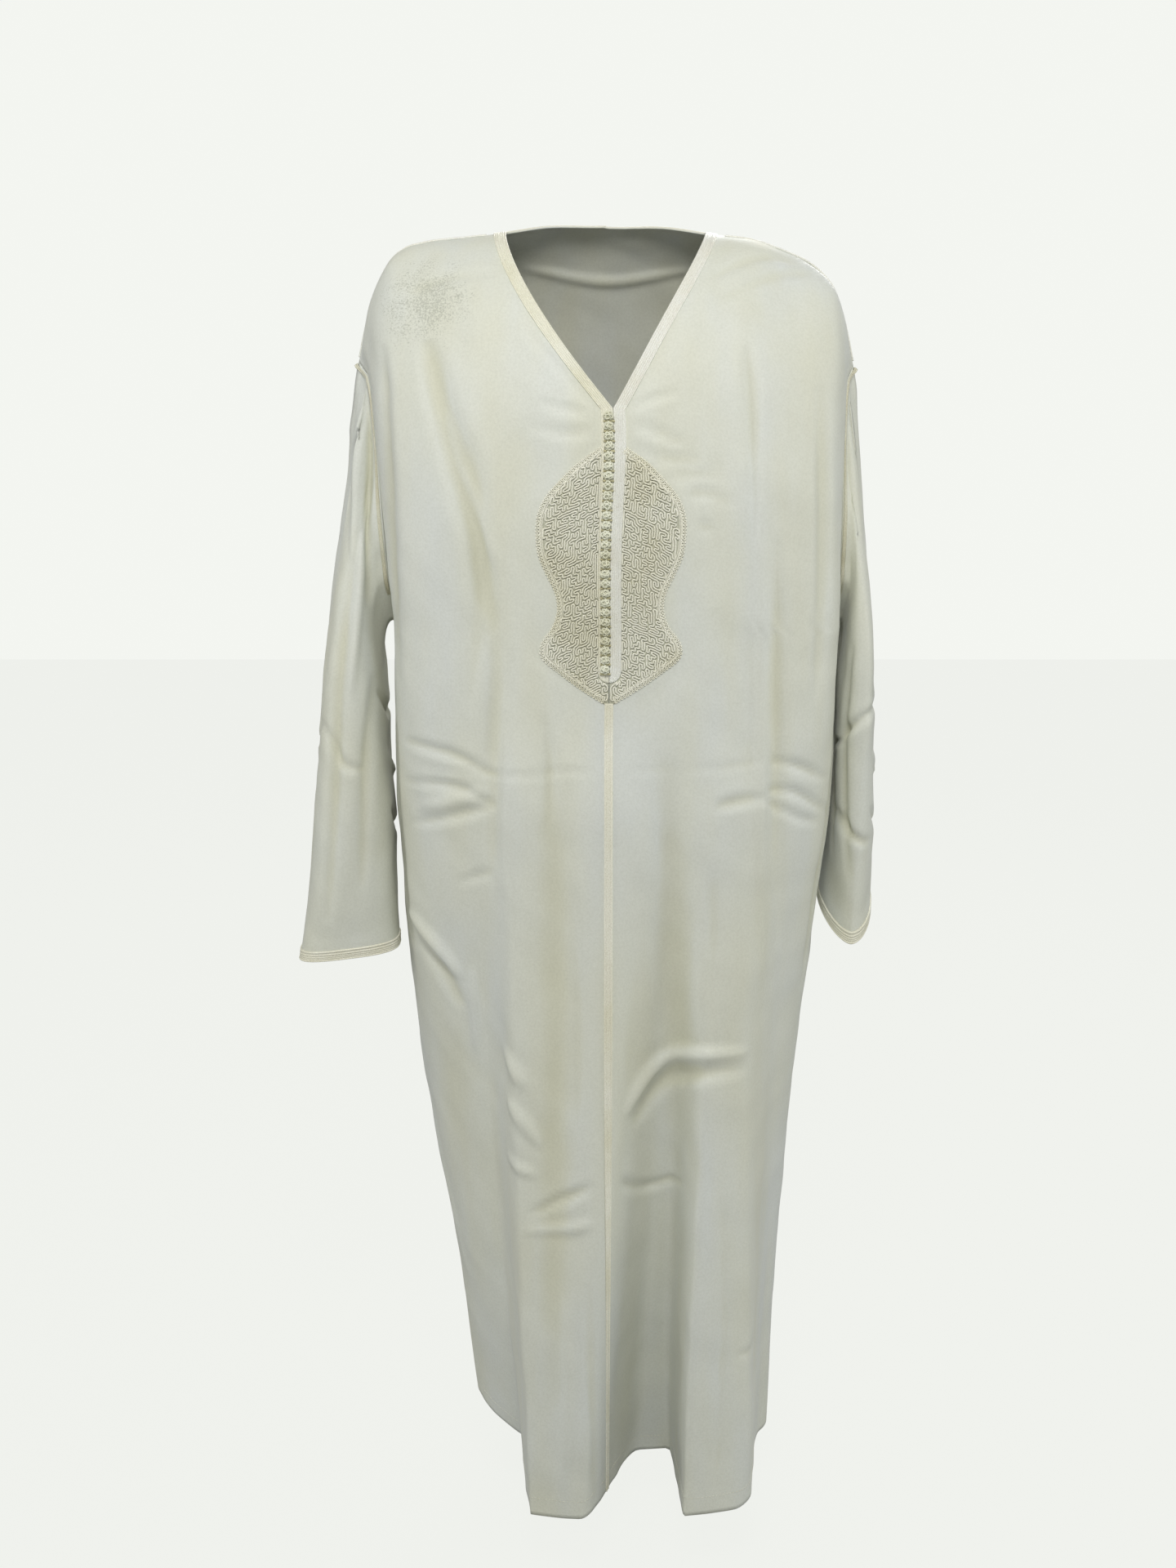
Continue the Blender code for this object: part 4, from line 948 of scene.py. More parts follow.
a, v = back_panel(PANEL_ROWS, 156)
base, out = body(1, a, v), outward(1, a, v)
hold = calm(gap_along(base, 0, True), 0.0125) * (0.1 + 0.9 * calm(gap_along(base, 1), 0.001))
hold = hold * (0.1 + 0.9 * calm(gap_along(base, 1, True), 0.001))
points, lift = creased(base, out, CREASES + HIDDEN_CREASES, hold)
BACK_CLOTH, area = grid_piece("cloth_back", points, out, CREPE, lift=lift)
settle(thicken(BACK_CLOTH, CLOTH), "robe_cloth", "back")
CUTS["cloth_back"] = area
print("cloth area, one layer:", {name: round(area, 3) for name, area in CUTS.items()})

# %% The sleeves
for side, word in ((-1, "left"), (1, "right")):
    rows = sleeve_panel(side)
    out = loop_normals(rows, side)
    hold = calm(gap_along(rows, 0), 0.007) * calm(gap_along(rows, 0, True), 0.0125)
    points, lift = creased(rows, out, SLEEVE_CREASES, hold)
    piece, area = grid_piece(f"cloth_sleeve_{word}", points, out, CREPE, closed=True, lift=lift)
    settle(thicken(piece, CLOTH), "robe_cloth", f"sleeve_{word}")
    CUTS[piece.name] = area
print("sleeve area, one layer:", {name: round(area, 3) for name, area in CUTS.items() if "sleeve" in name})

# %% [markdown]
# ## Thread and cord
# The trims are made of rayon thread: whiter than the crepe, with a satin gleam on every ply. The loops between
# the knots get a darker golden thread as painted shade of the gaps between the knots, the armhole braids a
# darker thread as painted shade of the armhole's deep folds, and the chest field's ground a darker grey-green
# as painted shade between its cords. One material maker gives all of them, so that cords, braids and knots
# belong together, and it reads the same weave group at a finer scale for the twist of the thread.


# %% The thread's material
def thread_material(name, pale, deep, roughness):
    """Rayon thread: a pale tone on the ridges, a deeper one in slow patches, and a fine twist."""
    material = bpy.data.materials.new(name)
    material.use_nodes = True
    tree = material.node_tree
    shader = tree.nodes["Principled BSDF"]
    coords = tree.nodes.new("ShaderNodeTexCoord")
    slow = add_node(tree, "ShaderNodeTexNoise", [("Vector", coords.outputs["Object"]), ("Scale", 16.0), ("Detail", 3.0)])
    fine = add_node(tree, "ShaderNodeTexNoise", [("Vector", coords.outputs["Object"]), ("Scale", 900.0), ("Detail", 2.0)])
    tone = ramp(tree, slow.outputs["Fac"], [(0.34, deep), (0.58, pale)])
    fleck = ramp(tree, fine.outputs["Fac"], [(0.30, (0.84, 0.83, 0.79)), (0.60, (1.0, 1.0, 1.0))])
    colour = add_node(tree, "ShaderNodeMix", [(0, 1.0), (6, tone), (7, fleck)], data_type="RGBA", blend_type="MULTIPLY")
    tree.links.new(colour.outputs[2], shader.inputs["Base Color"])
    shader.inputs["Roughness"].default_value = roughness
    shader.inputs["Specular IOR Level"].default_value = 0.5
    shader.inputs["Sheen Weight"].default_value = 0.15
    weave = add_node(tree, "ShaderNodeGroup", node_tree=WEAVE)
    tree.links.new(coords.outputs["Object"], weave.inputs["Vector"])
    weave.inputs["Threads"].default_value = 9000.0
    bump = add_node(tree, "ShaderNodeBump", [("Height", weave.outputs["Height"]), ("Strength", 0.3), ("Distance", 0.0001)])
    tree.links.new(bump.outputs[0], shader.inputs["Normal"])
    return material


THREAD = thread_material("cream thread", (0.86, 0.85, 0.74), (0.79, 0.77, 0.62), 0.42)
# painted shade: a darker thread for the armhole braids, which lie in the deep folds of the armholes
ARMHOLE_SHADE_THREAD = thread_material("armhole braid shade thread", (0.68, 0.67, 0.55), (0.60, 0.57, 0.42), 0.48)
# the ground under the cords is real cloth; its darker grey-green is painted shade, standing for the shade in the gaps
# between the cords
FIELD_GAP_SHADE_CLOTH = thread_material("chest field ground with painted gap shade", (0.56, 0.57, 0.47), (0.52, 0.51, 0.39), 0.60)
BRIGHT = thread_material("bright satin thread", (0.86, 0.87, 0.82), (0.80, 0.79, 0.70), 0.34)
# painted shade: a darker golden thread for the loops, standing for the shade in the gaps between the knots
KNOT_GAP_SHADE_THREAD = thread_material("knot gap shade thread", (0.62, 0.58, 0.37), (0.47, 0.43, 0.24), 0.50)
KNOT_THREAD = thread_material("knot thread", (0.82, 0.83, 0.69), (0.62, 0.60, 0.41), 0.40)
print("thread materials:", THREAD.name, BRIGHT.name, KNOT_GAP_SHADE_THREAD.name, KNOT_THREAD.name)

# %% [markdown]
# ## Braid as relief
# The flat braids are rows of two-ply cords laid side by side, each twisted the other way from its
# neighbour, which is what makes their herringbone. Modelling every ply would cost a million faces. A strip
# whose height follows the plies shows the same thing: it lies on the cloth, and each column of it is
# domed across and notched along, with the notches slanted to the left or to the right.

# %% Make a braid strip on any surface
Ply = namedtuple("Ply", "centre half rise hand")


def ply_height(plies, across, along, pitch):
    """The height of the braid over its ground: hand is 0 for a plain cord, or the way the plies slant."""
    height = np.zeros(np.broadcast(across, along).shape)
    for ply in plies:
        place = (across - ply.centre) / ply.half
        dome = np.sqrt(np.clip(1.0 - 0.92 * place**2, 0.0, 1.0)) * (np.abs(place) <= 1.0)
        notch = 1.0
        if ply.hand:
            notch = 0.55 + 0.45 * np.abs(np.cos(math.pi * (along / pitch - 0.55 * ply.hand * place)))
        height = np.maximum(height, ply.rise * dome * notch)
    return height


def braid_strip(name, place, length, width, plies, pitch, material, ground=0.00045, step=0.00086, loop=False):
    """A closed strip of braid: place(across, along) gives points of the cloth and their outward directions."""
    columns = [0.0]
    for ply in sorted(plies):
        columns += [ply.centre + ply.half * k for k in (-0.96, -0.55, 0.0, 0.55, 0.96)]
    columns = np.unique(np.clip(np.round(np.array(columns + [width]), 6), 0.0, width))
    along = np.linspace(0.0, length, max(8, int(length / step)), endpoint=not loop)
    across, down = np.meshgrid(columns, along)
    points, out = place(across, down)
    lifted = points + out * (ground + ply_height(plies, across, down, pitch))[..., None]
    sides = [points[:, :1] - out[:, :1] * 0.0002, lifted, points[:, -1:] - out[:, -1:] * 0.0002]
    grid = np.concatenate(sides, axis=1)
    normals = np.concatenate([out[:, :1], out, out[:, -1:]], axis=1)
    if loop:
        grid, normals = np.concatenate([grid, grid[:1]]), np.concatenate([normals, normals[:1]])
    return grid_piece(name, grid, normals, material, closed=True, caps=not loop)[0]


print("braid maker ready")


# %% Routes on the cloth beside the opening, round the neck and down the centre
def front_place(distance, v):
    """Points of the front and their outward directions at a distance along the cloth from the opening."""
    a = distance / span(-1, v)
    return body(-1, a, v), outward(-1, a, v)


def opening_place(side, low_z):
    """The strip beside the opening and the V neck: a place function and its length."""
    rows = np.linspace(row_at(low_z), 1.0, 600)
    edge = body(-1, side * neck_a(side, rows), rows)
    steps = np.concatenate([[0.0], np.cumsum(np.linalg.norm(np.diff(edge, axis=0), axis=1))])

    def place(across, along):
        v = np.interp(along, steps, rows)
        t = np.clip((np.interp(v, ROWS, CENTRE_HEIGHTS) - PLACKET_END_Z) / PLACKET_TAPER, 0.03, 1.0)
        closing = np.where(v < V_POINT, np.sqrt(t * (2.0 - t)), 1.0)
        lean = np.where(v > V_POINT, BRAID_LEAN, 1.0)
        a = side * (neck_a(side, v) + (0.5 * SEAM_GAP + across * closing * lean) / span(-1, v))
        return body(-1, a, v), outward(-1, a, np.minimum(v, 0.995))

    return place, steps[-1]


def neck_place():
    """The strip below the back of the neck."""
    shares = np.linspace(-NECK, NECK, 200)
    dip = lambda a: BACK_NECK_DROP * np.clip(1.0 - (a / NECK) ** 2, 0.0, 1.0)
    edge = body(1, shares, 1.0 - dip(shares))
    steps = np.concatenate([[0.0], np.cumsum(np.linalg.norm(np.diff(edge, axis=0), axis=1))])

    def place(across, along):
        a = np.interp(along, steps, shares)
        w = 1.0 - NECK_BRAID_ROW * across / BRAID_WIDTH
        v = w * (1.0 - dip(a) * w)
        return body(1, a, v), outward(1, a, np.minimum(v, 0.995))

    return place, steps[-1]


def centre_place(top_z):
    """The strip over the seam of the two fronts."""
    def place(across, along):
        v = row_at(top_z - along)
        return front_place(across - CENTRE_BRAID_HALF, v)

    return place, top_z - HEM_Z


PLACKET_TAPER = 0.012
NECK_BRAID_ROW = 0.045
CENTRE_BRAID_HALF = 0.0045
WIDE_BRAID = [
    Ply(0.0012, 0.0011, 0.0011, 1),
    Ply(0.0033, 0.0011, 0.0011, -1),
    Ply(0.0054, 0.0011, 0.0011, 1),
    Ply(0.0075, 0.0011, 0.0011, -1),
    Ply(0.0096, 0.0008, 0.0011, 0),
    Ply(0.0112, 0.0007, 0.0010, 0),
]
CORD_BRAID = [
    Ply(0.0010, 0.0009, 0.0010, 1),
    Ply(0.0031, 0.0010, 0.0012, 0),
    Ply(0.0053, 0.0010, 0.0011, 0),
    Ply(0.0075, 0.0010, 0.0012, 0),
    Ply(0.0096, 0.0009, 0.0011, 0),
    Ply(0.0113, 0.0007, 0.0011, 0),
]
for side, word in ((-1, "left"), (1, "right")):
    place, length = opening_place(side, PLACKET_END_Z)
    plies, thread = (CORD_BRAID, THREAD) if side < 0 else (WIDE_BRAID, BRIGHT)
    strip = braid_strip(f"braid_opening_{word}", place, length, BRAID_WIDTH, plies, 0.0026, thread)
    settle(strip, "braid_thread", f"opening_braid_{word}")
    print(strip.name, "is", round(length, 3), "m long")
place, length = neck_place()
settle(braid_strip("braid_neck_back", place, length, BRAID_WIDTH, WIDE_BRAID, 0.0023, THREAD), "braid_thread", "neck_braid_back")
SHOULDER_BRAID = [Ply(0.0007, 0.0006, 0.0008, 0), Ply(0.0024, 0.0007, 0.0007, 1), Ply(0.0041, 0.0006, 0.0008, 0)]
SHOULDER_BRAID_BACK = 0.012


def shoulder_place(side):
    """The fine strip in front of the shoulder seam, from the neck to the armhole."""
    shares = side * np.linspace(NECK + 0.06, 0.985, 200)
    edge = body(-1, shares, np.full(200, 1.0))
    steps = np.concatenate([[0.0], np.cumsum(np.linalg.norm(np.diff(edge, axis=0), axis=1))])
    drop = float(np.linalg.norm(body(-1, np.array([0.6]), np.array([1.0])) - body(-1, np.array([0.6]), np.array([0.98]))))

    def place(across, along):
        a = np.interp(along, steps, shares)
        v = 1.0 - (SHOULDER_BRAID_BACK + across) / drop * 0.02
        return body(-1, a, v), outward(-1, a, v)

    return place, steps[-1]


for side, word in ((-1, "left"), (1, "right")):
    place, length = shoulder_place(side)
    strip = braid_strip(f"braid_shoulder_{word}", place, length, 0.0048, SHOULDER_BRAID, 0.0024, BRIGHT, ground=0.0006)
    settle(strip, "braid_thread")
    print(strip.name, "is", round(length, 3), "m long")
NARROW_BRAID = [
    Ply(0.0009, 0.0009, 0.0011, 0),
    Ply(0.0036, 0.0010, 0.0009, 1),
    Ply(0.0054, 0.0010, 0.0009, -1),
    Ply(0.0081, 0.0009, 0.0011, 0),
]
place, length = centre_place(-0.466)
settle(braid_strip("braid_centre", place, length, 2 * CENTRE_BRAID_HALF, NARROW_BRAID, 0.0028, THREAD, ground=0.0003),
       "braid_thread", "centre_braid")
print("centre braid is", round(length, 3), "m long")


# %% Braids round the armholes and the cuffs
def armhole_place(side):
    """The strip along the sleeve's side of the armhole seam, as a loop."""
    edge, leave, _ = armhole_loop(side, 460)
    rows = np.array([edge, edge + ARM_BRAID_WIDTH * leave])
    out = loop_normals(rows, side)[0]
    steps = np.concatenate([[0.0], np.cumsum(np.linalg.norm(np.diff(np.vstack([edge, edge[:1]]), axis=0), axis=1))])
    around = lambda table, s: np.stack(
        [np.interp(s, steps, np.append(table[:, k], table[0, k])) for k in range(3)], axis=-1
    )

    def place(across, along):
        start = around(edge, along)
        return start + around(leave, along) * (across + ARM_BRAID_IN)[..., None], around(out, along)

    return place, steps[-1]


def cuff_place(side):
    """The strip round the end of a sleeve, as a loop; across runs up from the cuff's edge."""
    rings = LEFT_SLEEVE if side < 0 else RIGHT_SLEEVE
    share = np.linspace(0.0, 1.0, 900, endpoint=False)
    cuff = rings[-1].z
    levels = [sleeve_ring(rings, side, cuff + h, share) for h in (0.0, BRAID_WIDTH)]
    out = loop_normals(np.array(levels[::-1]), side)[0]
    edge = levels[0]
    steps = np.concatenate([[0.0], np.cumsum(np.linalg.norm(np.diff(np.vstack([edge, edge[:1]]), axis=0), axis=1))])
    around = lambda table, s: np.stack(
        [np.interp(s, steps, np.append(table[:, k], table[0, k])) for k in range(3)], axis=-1
    )

    def place(across, along):
        low, high = around(levels[0], along), around(levels[1], along)
        return low + (high - low) * (across / BRAID_WIDTH)[..., None], around(out, along)

    return place, steps[-1]


ARM_BRAID_IN = 0.0024
ARM_BRAID = [
    Ply(0.0010, 0.0010, 0.0010, 1),
    Ply(0.0029, 0.0010, 0.0010, -1),
]
CUFF_BRAID = [
    Ply(0.0010, 0.0009, 0.0011, 0),
    Ply(0.0032, 0.0010, 0.0009, 1),
    Ply(0.0051, 0.0010, 0.0009, -1),
    Ply(0.0076, 0.0008, 0.0010, 0),
    Ply(0.0108, 0.0010, 0.0011, 0),
]
for side, word in ((-1, "left"), (1, "right")):
    place, length = armhole_place(side)
    # painted shade: the armhole braid gets the darker thread of the armhole's folds
    strip = braid_strip(f"braid_armhole_{word}", place, length, 0.0040, ARM_BRAID, 0.0025, ARMHOLE_SHADE_THREAD,
                        ground=0.0007, loop=True)
    settle(strip, "braid_thread", f"armhole_braid_{word}")
    place, length = cuff_place(side)
    strip = braid_strip(f"braid_cuff_{word}", place, length, BRAID_WIDTH, CUFF_BRAID, 0.0026, THREAD, ground=0.0005,
                        loop=True)
    settle(strip, "braid_thread", f"cuff_braid_{word}")
    print(strip.name, "is", round(length, 3), "m round")

# %% [markdown]
# ## The chest field
# The field beside the opening is filled by one thin cord that wanders without ever crossing itself, inside
# a looped border. Drawing such a line by hand is slow and never even. A maze does it: a random tree is
# grown over small cells, and the line that walks all the way round the tree fills the field, keeps its
# distance from itself and closes. Rounded corners then turn the walk into the soft curls of a laid cord.

# %% The field's outline
def field_half(z):
    return np.interp(-np.asarray(z), [-row.z for row in FIELD], [row.half for row in FIELD])


def outline_route(inset, step=0.0005):
    """The outline moved inwards, as distances from the opening and heights, at even steps."""
    z = np.linspace(FIELD[0].z, FIELD[-1].z, 260)
    half = curve(FIELD, "z", "half", z)
    line = np.column_stack([half, z])
    way = unit(np.gradient(line, axis=0))
    inner = line + np.column_stack([way[:, 1], -way[:, 0]]) * inset
    keep = inner[:, 0] > 0.0004
    inner = inner[keep]
    steps = np.concatenate([[0.0], np.cumsum(np.linalg.norm(np.diff(inner, axis=0), axis=1))])
    even = np.arange(0.0, steps[-1], step)
    return np.column_stack([np.interp(even, steps, inner[:, k]) for k in (0, 1)])


def on_field(side, flat, height):
    """Points above the chest for distances and heights on the field."""
    points, out = front_place(side * flat[:, 0], row_at(flat[:, 1]))
    return points + out * np.broadcast_to(height, len(flat))[:, None]


print("the field is", round(2 * max(row.half for row in FIELD), 3), "m wide")


# %% Make cords along any routes
def cords(name, routes, radius, material, loops=False):
    """Round cords along lists of points, as one mesh."""
    data = bpy.data.curves.new(name, "CURVE")
    data.dimensions = "3D"
    data.bevel_depth = radius
    data.bevel_resolution = 1
    data.use_fill_caps = True
    data.twist_mode = "MINIMUM"
    for route in routes:
        spline = data.splines.new("POLY")
        spline.points.add(len(route) - 1)
        spline.points.foreach_set("co", np.column_stack([route, np.ones(len(route))]).ravel())
        spline.use_cyclic_u = loops
    drawn = bpy.data.objects.new(name, data)
    bpy.context.scene.collection.objects.link(drawn)
    bpy.context.view_layer.update()
    made = bpy.data.meshes.new_from_object(drawn.evaluated_get(bpy.context.evaluated_depsgraph_get()))
    bpy.data.objects.remove(drawn)
    mesh = bmesh.new()
    mesh.from_mesh(made)
    bmesh.ops.remove_doubles(mesh, verts=mesh.verts, dist=0.00001)
    bmesh.ops.recalc_face_normals(mesh, faces=mesh.faces)
    mesh.to_mesh(made)
    mesh.free()
    made.materials.clear()
    made.materials.append(material)
    made.shade_smooth()
    piece = bpy.data.objects.new(name, made)
    bpy.context.scene.collection.objects.link(piece)
    return piece


print("cord maker ready")


# %% Walk round a random tree of cells
def wander(cells, pick):
    """The closed walk round a random tree over each group of touching cells, in half-cell units."""
    owner = {cell: cell for cell in cells}

    def root(cell):
        while owner[cell] != cell:
            cell = owner[cell]
        return cell

    ties = [((i, j), (i + 1, j)) for i, j in cells if (i + 1, j) in cells]
    ties += [((i, j), (i, j + 1)) for i, j in cells if (i, j + 1) in cells]
    ties.sort(key=lambda tie: (pick.random(), tie))
    links = {}
    for i, j in cells:
        corners = [(2 * i, 2 * j), (2 * i + 1, 2 * j), (2 * i + 1, 2 * j + 1), (2 * i, 2 * j + 1)]
        for corner, after in zip(corners, corners[1:] + corners[:1]):
            links.setdefault(corner, set()).add(after)
            links.setdefault(after, set()).add(corner)
    for (i, j), (k, m) in ties:
        one, other = root((i, j)), root((k, m))
        if one == other:
            continue
        owner[one] = other
        if k == i + 1:
            near, far = [(2 * i + 1, 2 * j), (2 * i + 1, 2 * j + 1)], [(2 * i + 2, 2 * j), (2 * i + 2, 2 * j + 1)]
        else:
            near, far = [(2 * i, 2 * j + 1), (2 * i + 1, 2 * j + 1)], [(2 * i, 2 * j + 2), (2 * i + 1, 2 * j + 2)]
        for pair in (near, far):
            links[pair[0]].discard(pair[1])
            links[pair[1]].discard(pair[0])
        for here, there in zip(near, far):
            links[here].add(there)
            links[there].add(here)
    walks, left = [], set(links)
    while left:
        start = min(left)
        walk, last, here = [start], None, start
        while True:
            left.discard(here)
            after = [n for n in sorted(links[here]) if n != last]
            last, here = here, after[0]
            if here == start:
                break
            walk.append(here)
        walks.append(walk)
    return [walk for walk in walks if len(walk) > 12]


print("a walk round nine cells has", len(wander({(i, j) for i in range(3) for j in range(3)}, random.Random(1))[0]), "steps")


# %% Let the walk settle into curls
def spaced(walk, step):
    """A closed walk read at even steps."""
    closed = np.vstack([walk, walk[:1]])
    steps = np.concatenate([[0.0], np.cumsum(np.linalg.norm(np.diff(closed, axis=0), axis=1))])
    even = np.linspace(0.0, steps[-1], int(steps[-1] / step), endpoint=False)
    return np.column_stack([np.interp(even, steps, closed[:, k]) for k in (0, 1)])


def settled(walk, keep_in, apart, growth, rounds):
    """The cord stretches a little, bends softly and pushes its own turns apart, inside its fence."""
    count = len(walk)
    rest = np.linalg.norm(np.roll(walk, -1, 0) - walk, axis=1).mean() * growth
    place = np.arange(count)
    for turn in range(rounds):
        if turn % 20 == 0:
            gap = walk[:, None] - walk[None]
            near = (np.abs(gap[..., 0]) < apart * 1.6) & (np.abs(gap[..., 1]) < apart * 1.6)
            along = np.abs(place[:, None] - place)
            along = np.minimum(along, count - along)
            i, j = np.nonzero(near & (along * rest > apart * 1.5))
        gap = walk[i] - walk[j]
        length = np.linalg.norm(gap, axis=1) + 1e-9
        push = np.clip(apart - length, 0.0, None) / length * 0.22
        move = np.column_stack([np.bincount(i, push * gap[:, k], count) for k in (0, 1)])
        ahead = np.roll(walk, -1, 0) - walk
        pull = ahead * (1 - rest / (np.linalg.norm(ahead, axis=1)[:, None] + 1e-9)) * 0.35
        bend = (np.roll(walk, -1, 0) + np.roll(walk, 1, 0)) / 2 - walk
        stiff = (np.roll(bend, -1, 0) + np.roll(bend, 1, 0)) / 2 - bend
        move += pull - np.roll(pull, 1, 0) + bend * 0.10 - stiff * 0.55
        size = np.linalg.norm(move, axis=1)[:, None]
        walk = keep_in(walk + move * np.minimum(1.0, 0.0005 / (size + 1e-9)))
    return walk


def field_inner(z):
    """The field's inner limit: beside the opening's braid, round its end, and near the middle below it."""
    t = np.clip((z - PLACKET_END_Z + 0.0015) / PLACKET_TAPER, 0.0, 1.0)
    return FIELD_MIDDLE + (INNER - FIELD_MIDDLE) * np.sqrt(t * (2.0 - t))


def fenced(walk):
    z = np.clip(walk[:, 1], FIELD_BOTTOM + 0.004, FIELD_TOP - 0.0035)
    inner = field_inner(z)
    return np.column_stack([np.clip(walk[:, 0], inner, np.maximum(field_half(z) - BORDER + 0.0004, inner)), z])


FIELD_MIDDLE = 0.0009
CELL = 0.0047
SLANT = 0.42
CORD_RADIUS = 0.00086
CORD_HEIGHT = 0.00135
BORDER = 0.0078
INNER = 0.0128
for side, word in ((-1, "left"), (1, "right")):
    pick = random.Random(11 if side < 0 else 23)
    cells = set()
    for i in range(0, 18):
        for j in range(0, 90):
            d = 0.0012 + (i + 0.5) * CELL
            z = -0.50 + (j + 0.5) * CELL - SLANT * d
            fits = field_inner(z) - CELL * 0.2 < d < field_half(z) - BORDER + CELL * 0.12
            if fits and FIELD_BOTTOM + 0.003 < z < FIELD_TOP - 0.001:
                cells.add((i, j))
    routes = []
    for walk in wander(cells, pick):
        flat = np.array(walk, float)
        d = 0.0012 + (flat[:, 0] + 0.5) * CELL / 2
        z = -0.50 + (flat[:, 1] + 0.5) * CELL / 2 - SLANT * d
        flat = settled(spaced(np.column_stack([d, z]), 0.0011), fenced, 0.00262, 1.22, 80)
        routes.append(on_field(side, flat, CORD_HEIGHT))
    piece = cords(f"field_cord_{word}", routes, CORD_RADIUS, THREAD, loops=True)
    settle(piece, "braid_thread")
    length = sum(np.linalg.norm(np.diff(r, axis=0), axis=1).sum() for r in routes)
    print(piece.name, "has", len(cells), "cells,", len(routes), "walks and", round(float(length), 2), "m of cord")

# %% The field's ground, its looped border and its inner lines
FIELD_GROUND = 0.00055
LOOP_PITCH = 0.0034
LOOP_ACROSS = 0.0021
LOOP_ALONG = 0.0018
for side, word in ((-1, "left"), (1, "right")):
    z = np.concatenate([
        np.linspace(FIELD[0].z, PLACKET_END_Z + PLACKET_TAPER, 60),
        np.linspace(PLACKET_END_Z + PLACKET_TAPER, PLACKET_END_Z - 0.0002, 14)[1:],
        np.linspace(PLACKET_END_Z - 0.0003, FIELD[-1].z, 10),
    ])
    t = np.clip((z - PLACKET_END_Z) / PLACKET_TAPER, 0.0, 1.0)
    inner = np.where(z > PLACKET_END_Z, BRAID_WIDTH * np.sqrt(t * (2.0 - t)), 0.0) + 0.0004
    outer = np.maximum(field_half(z) - 0.0012, inner + 0.0004)
    share = np.linspace(0.0, 1.0, 12)
    flat = inner[:, None] + (outer - inner)[:, None] * share
    points, out = front_place(side * flat, row_at(z)[:, None])
    top = points + out * FIELD_GROUND
    grid = np.concatenate([points[:, :1] - out[:, :1] * 0.0002, top, points[:, -1:] - out[:, -1:] * 0.0002], axis=1)
    normals = np.concatenate([out[:, :1], out, out[:, -1:]], axis=1)
    # painted shade: the field's ground is darker than the crepe, for the shade between the cords
    ground = grid_piece(f"field_ground_{word}", grid, normals, FIELD_GAP_SHADE_CLOTH, closed=True, caps=True)[0]
    settle(ground, "braid_thread", f"plastron_{word}")

    line = outline_route(0.0024)
    step = np.linalg.norm(np.diff(line, axis=0), axis=1).mean()
    way = unit(np.gradient(line, axis=0))
    inward = np.column_stack([way[:, 1], -way[:, 0]])
    turn = np.arange(len(line)) * step * 2 * math.pi / LOOP_PITCH
    turns = np.arange(0.0, turn[-1], 2 * math.pi / 13)
    read = lambda table: np.column_stack([np.interp(turns, turn, table[:, k]) for k in (0, 1)])
    looped = read(line) + read(inward) * (LOOP_ACROSS * np.cos(turns))[:, None] + read(way) * (
        LOOP_ALONG * np.sin(turns))[:, None]
    border = on_field(side, looped, 0.00085 + 0.00035 * np.sin(turns + 0.8))
    settle(cords(f"field_border_{word}", [border], 0.00062, THREAD), "braid_thread")
    lines = [on_field(side, outline_route(inset, 0.002), 0.00100) for inset in (0.0053, 0.0067)]
    settle(cords(f"field_lines_{word}", lines, 0.00058, THREAD), "braid_thread")
    print("field", word, "border has", int(turn[-1] / (2 * math.pi)), "loops")

# %% [markdown]
# ## Knots and their loops
# The opening is closed by small round knots, each a ball that is woven from one cord, held by a loop that
# comes from the other edge. A ball with a bump texture looks like a bead. Here the cord itself is walked
# over the ball, over and under, as the maker's needle goes, so the dimples between its turns are real.

# %% Knots
KNOTS = 27
KNOT_TOP_Z = -0.180
KNOT_BOTTOM_Z = -0.431
KNOT_SIZE = (0.0092, 0.0064, 0.0084)
KNOT_OFFSET = -0.0047
LEADS = 4
BIGHTS = 5


def knot_walk(count=150):
    """A cord woven round a ball of unit size: it runs round LEADS times while it swings up and down BIGHTS
    times, and dives under itself between the swings."""
    t = np.linspace(0.0, 1.0, count, endpoint=False)
    around = 2 * math.pi * LEADS * t
    up = 1.12 * np.sin(2 * math.pi * BIGHTS * t)
    radius = 0.86 + 0.13 * np.cos(2 * math.pi * LEADS * BIGHTS * t)
    return np.column_stack([
        radius * np.cos(up) * np.cos(around),
        radius * np.cos(up) * np.sin(around),
        radius * np.sin(up),
    ])


for i, z in enumerate(np.linspace(KNOT_TOP_Z, KNOT_BOTTOM_Z, KNOTS)):
    v = float(row_at(z))
    seat, out = front_place(np.array([KNOT_OFFSET]), np.array([v]))
    seat, out = seat[0], unit(out[0])
    centre = seat + out * (LIFT + 0.0011 + SEAM_GAP + KNOT_SIZE[1] / 2)
    pick = random.Random(100 + i)
    turned = pick.uniform(0, 2 * math.pi)
    walk = knot_walk()
    c, s = math.cos(turned), math.sin(turned)
    walk = np.column_stack([walk[:, 0] * c - walk[:, 2] * s, walk[:, 1], walk[:, 0] * s + walk[:, 2] * c])
    ball = walk * np.array(KNOT_SIZE) * 0.53 * pick.uniform(0.97, 1.04)
    knot = cords(f"knot_ball_{i + 1:02d}", [centre + ball], 0.00082, KNOT_THREAD, loops=True)
    mesh = bmesh.new()
    mesh.from_mesh(knot.data)
    made = bmesh.ops.create_icosphere(mesh, subdivisions=2, radius=0.5)
    for vertex in made["verts"]:
        vertex.co = [centre[k] + vertex.co[k] * (KNOT_SIZE[k] - 0.0022) for k in range(3)]
    mesh.to_mesh(knot.data)
    mesh.free()
    knot.data.shade_smooth()
    settle(knot, "braid_thread", f"knot_{i + 1:02d}")
print(KNOTS, "knots, each", round(1000 * KNOT_SIZE[0], 1), "mm wide")

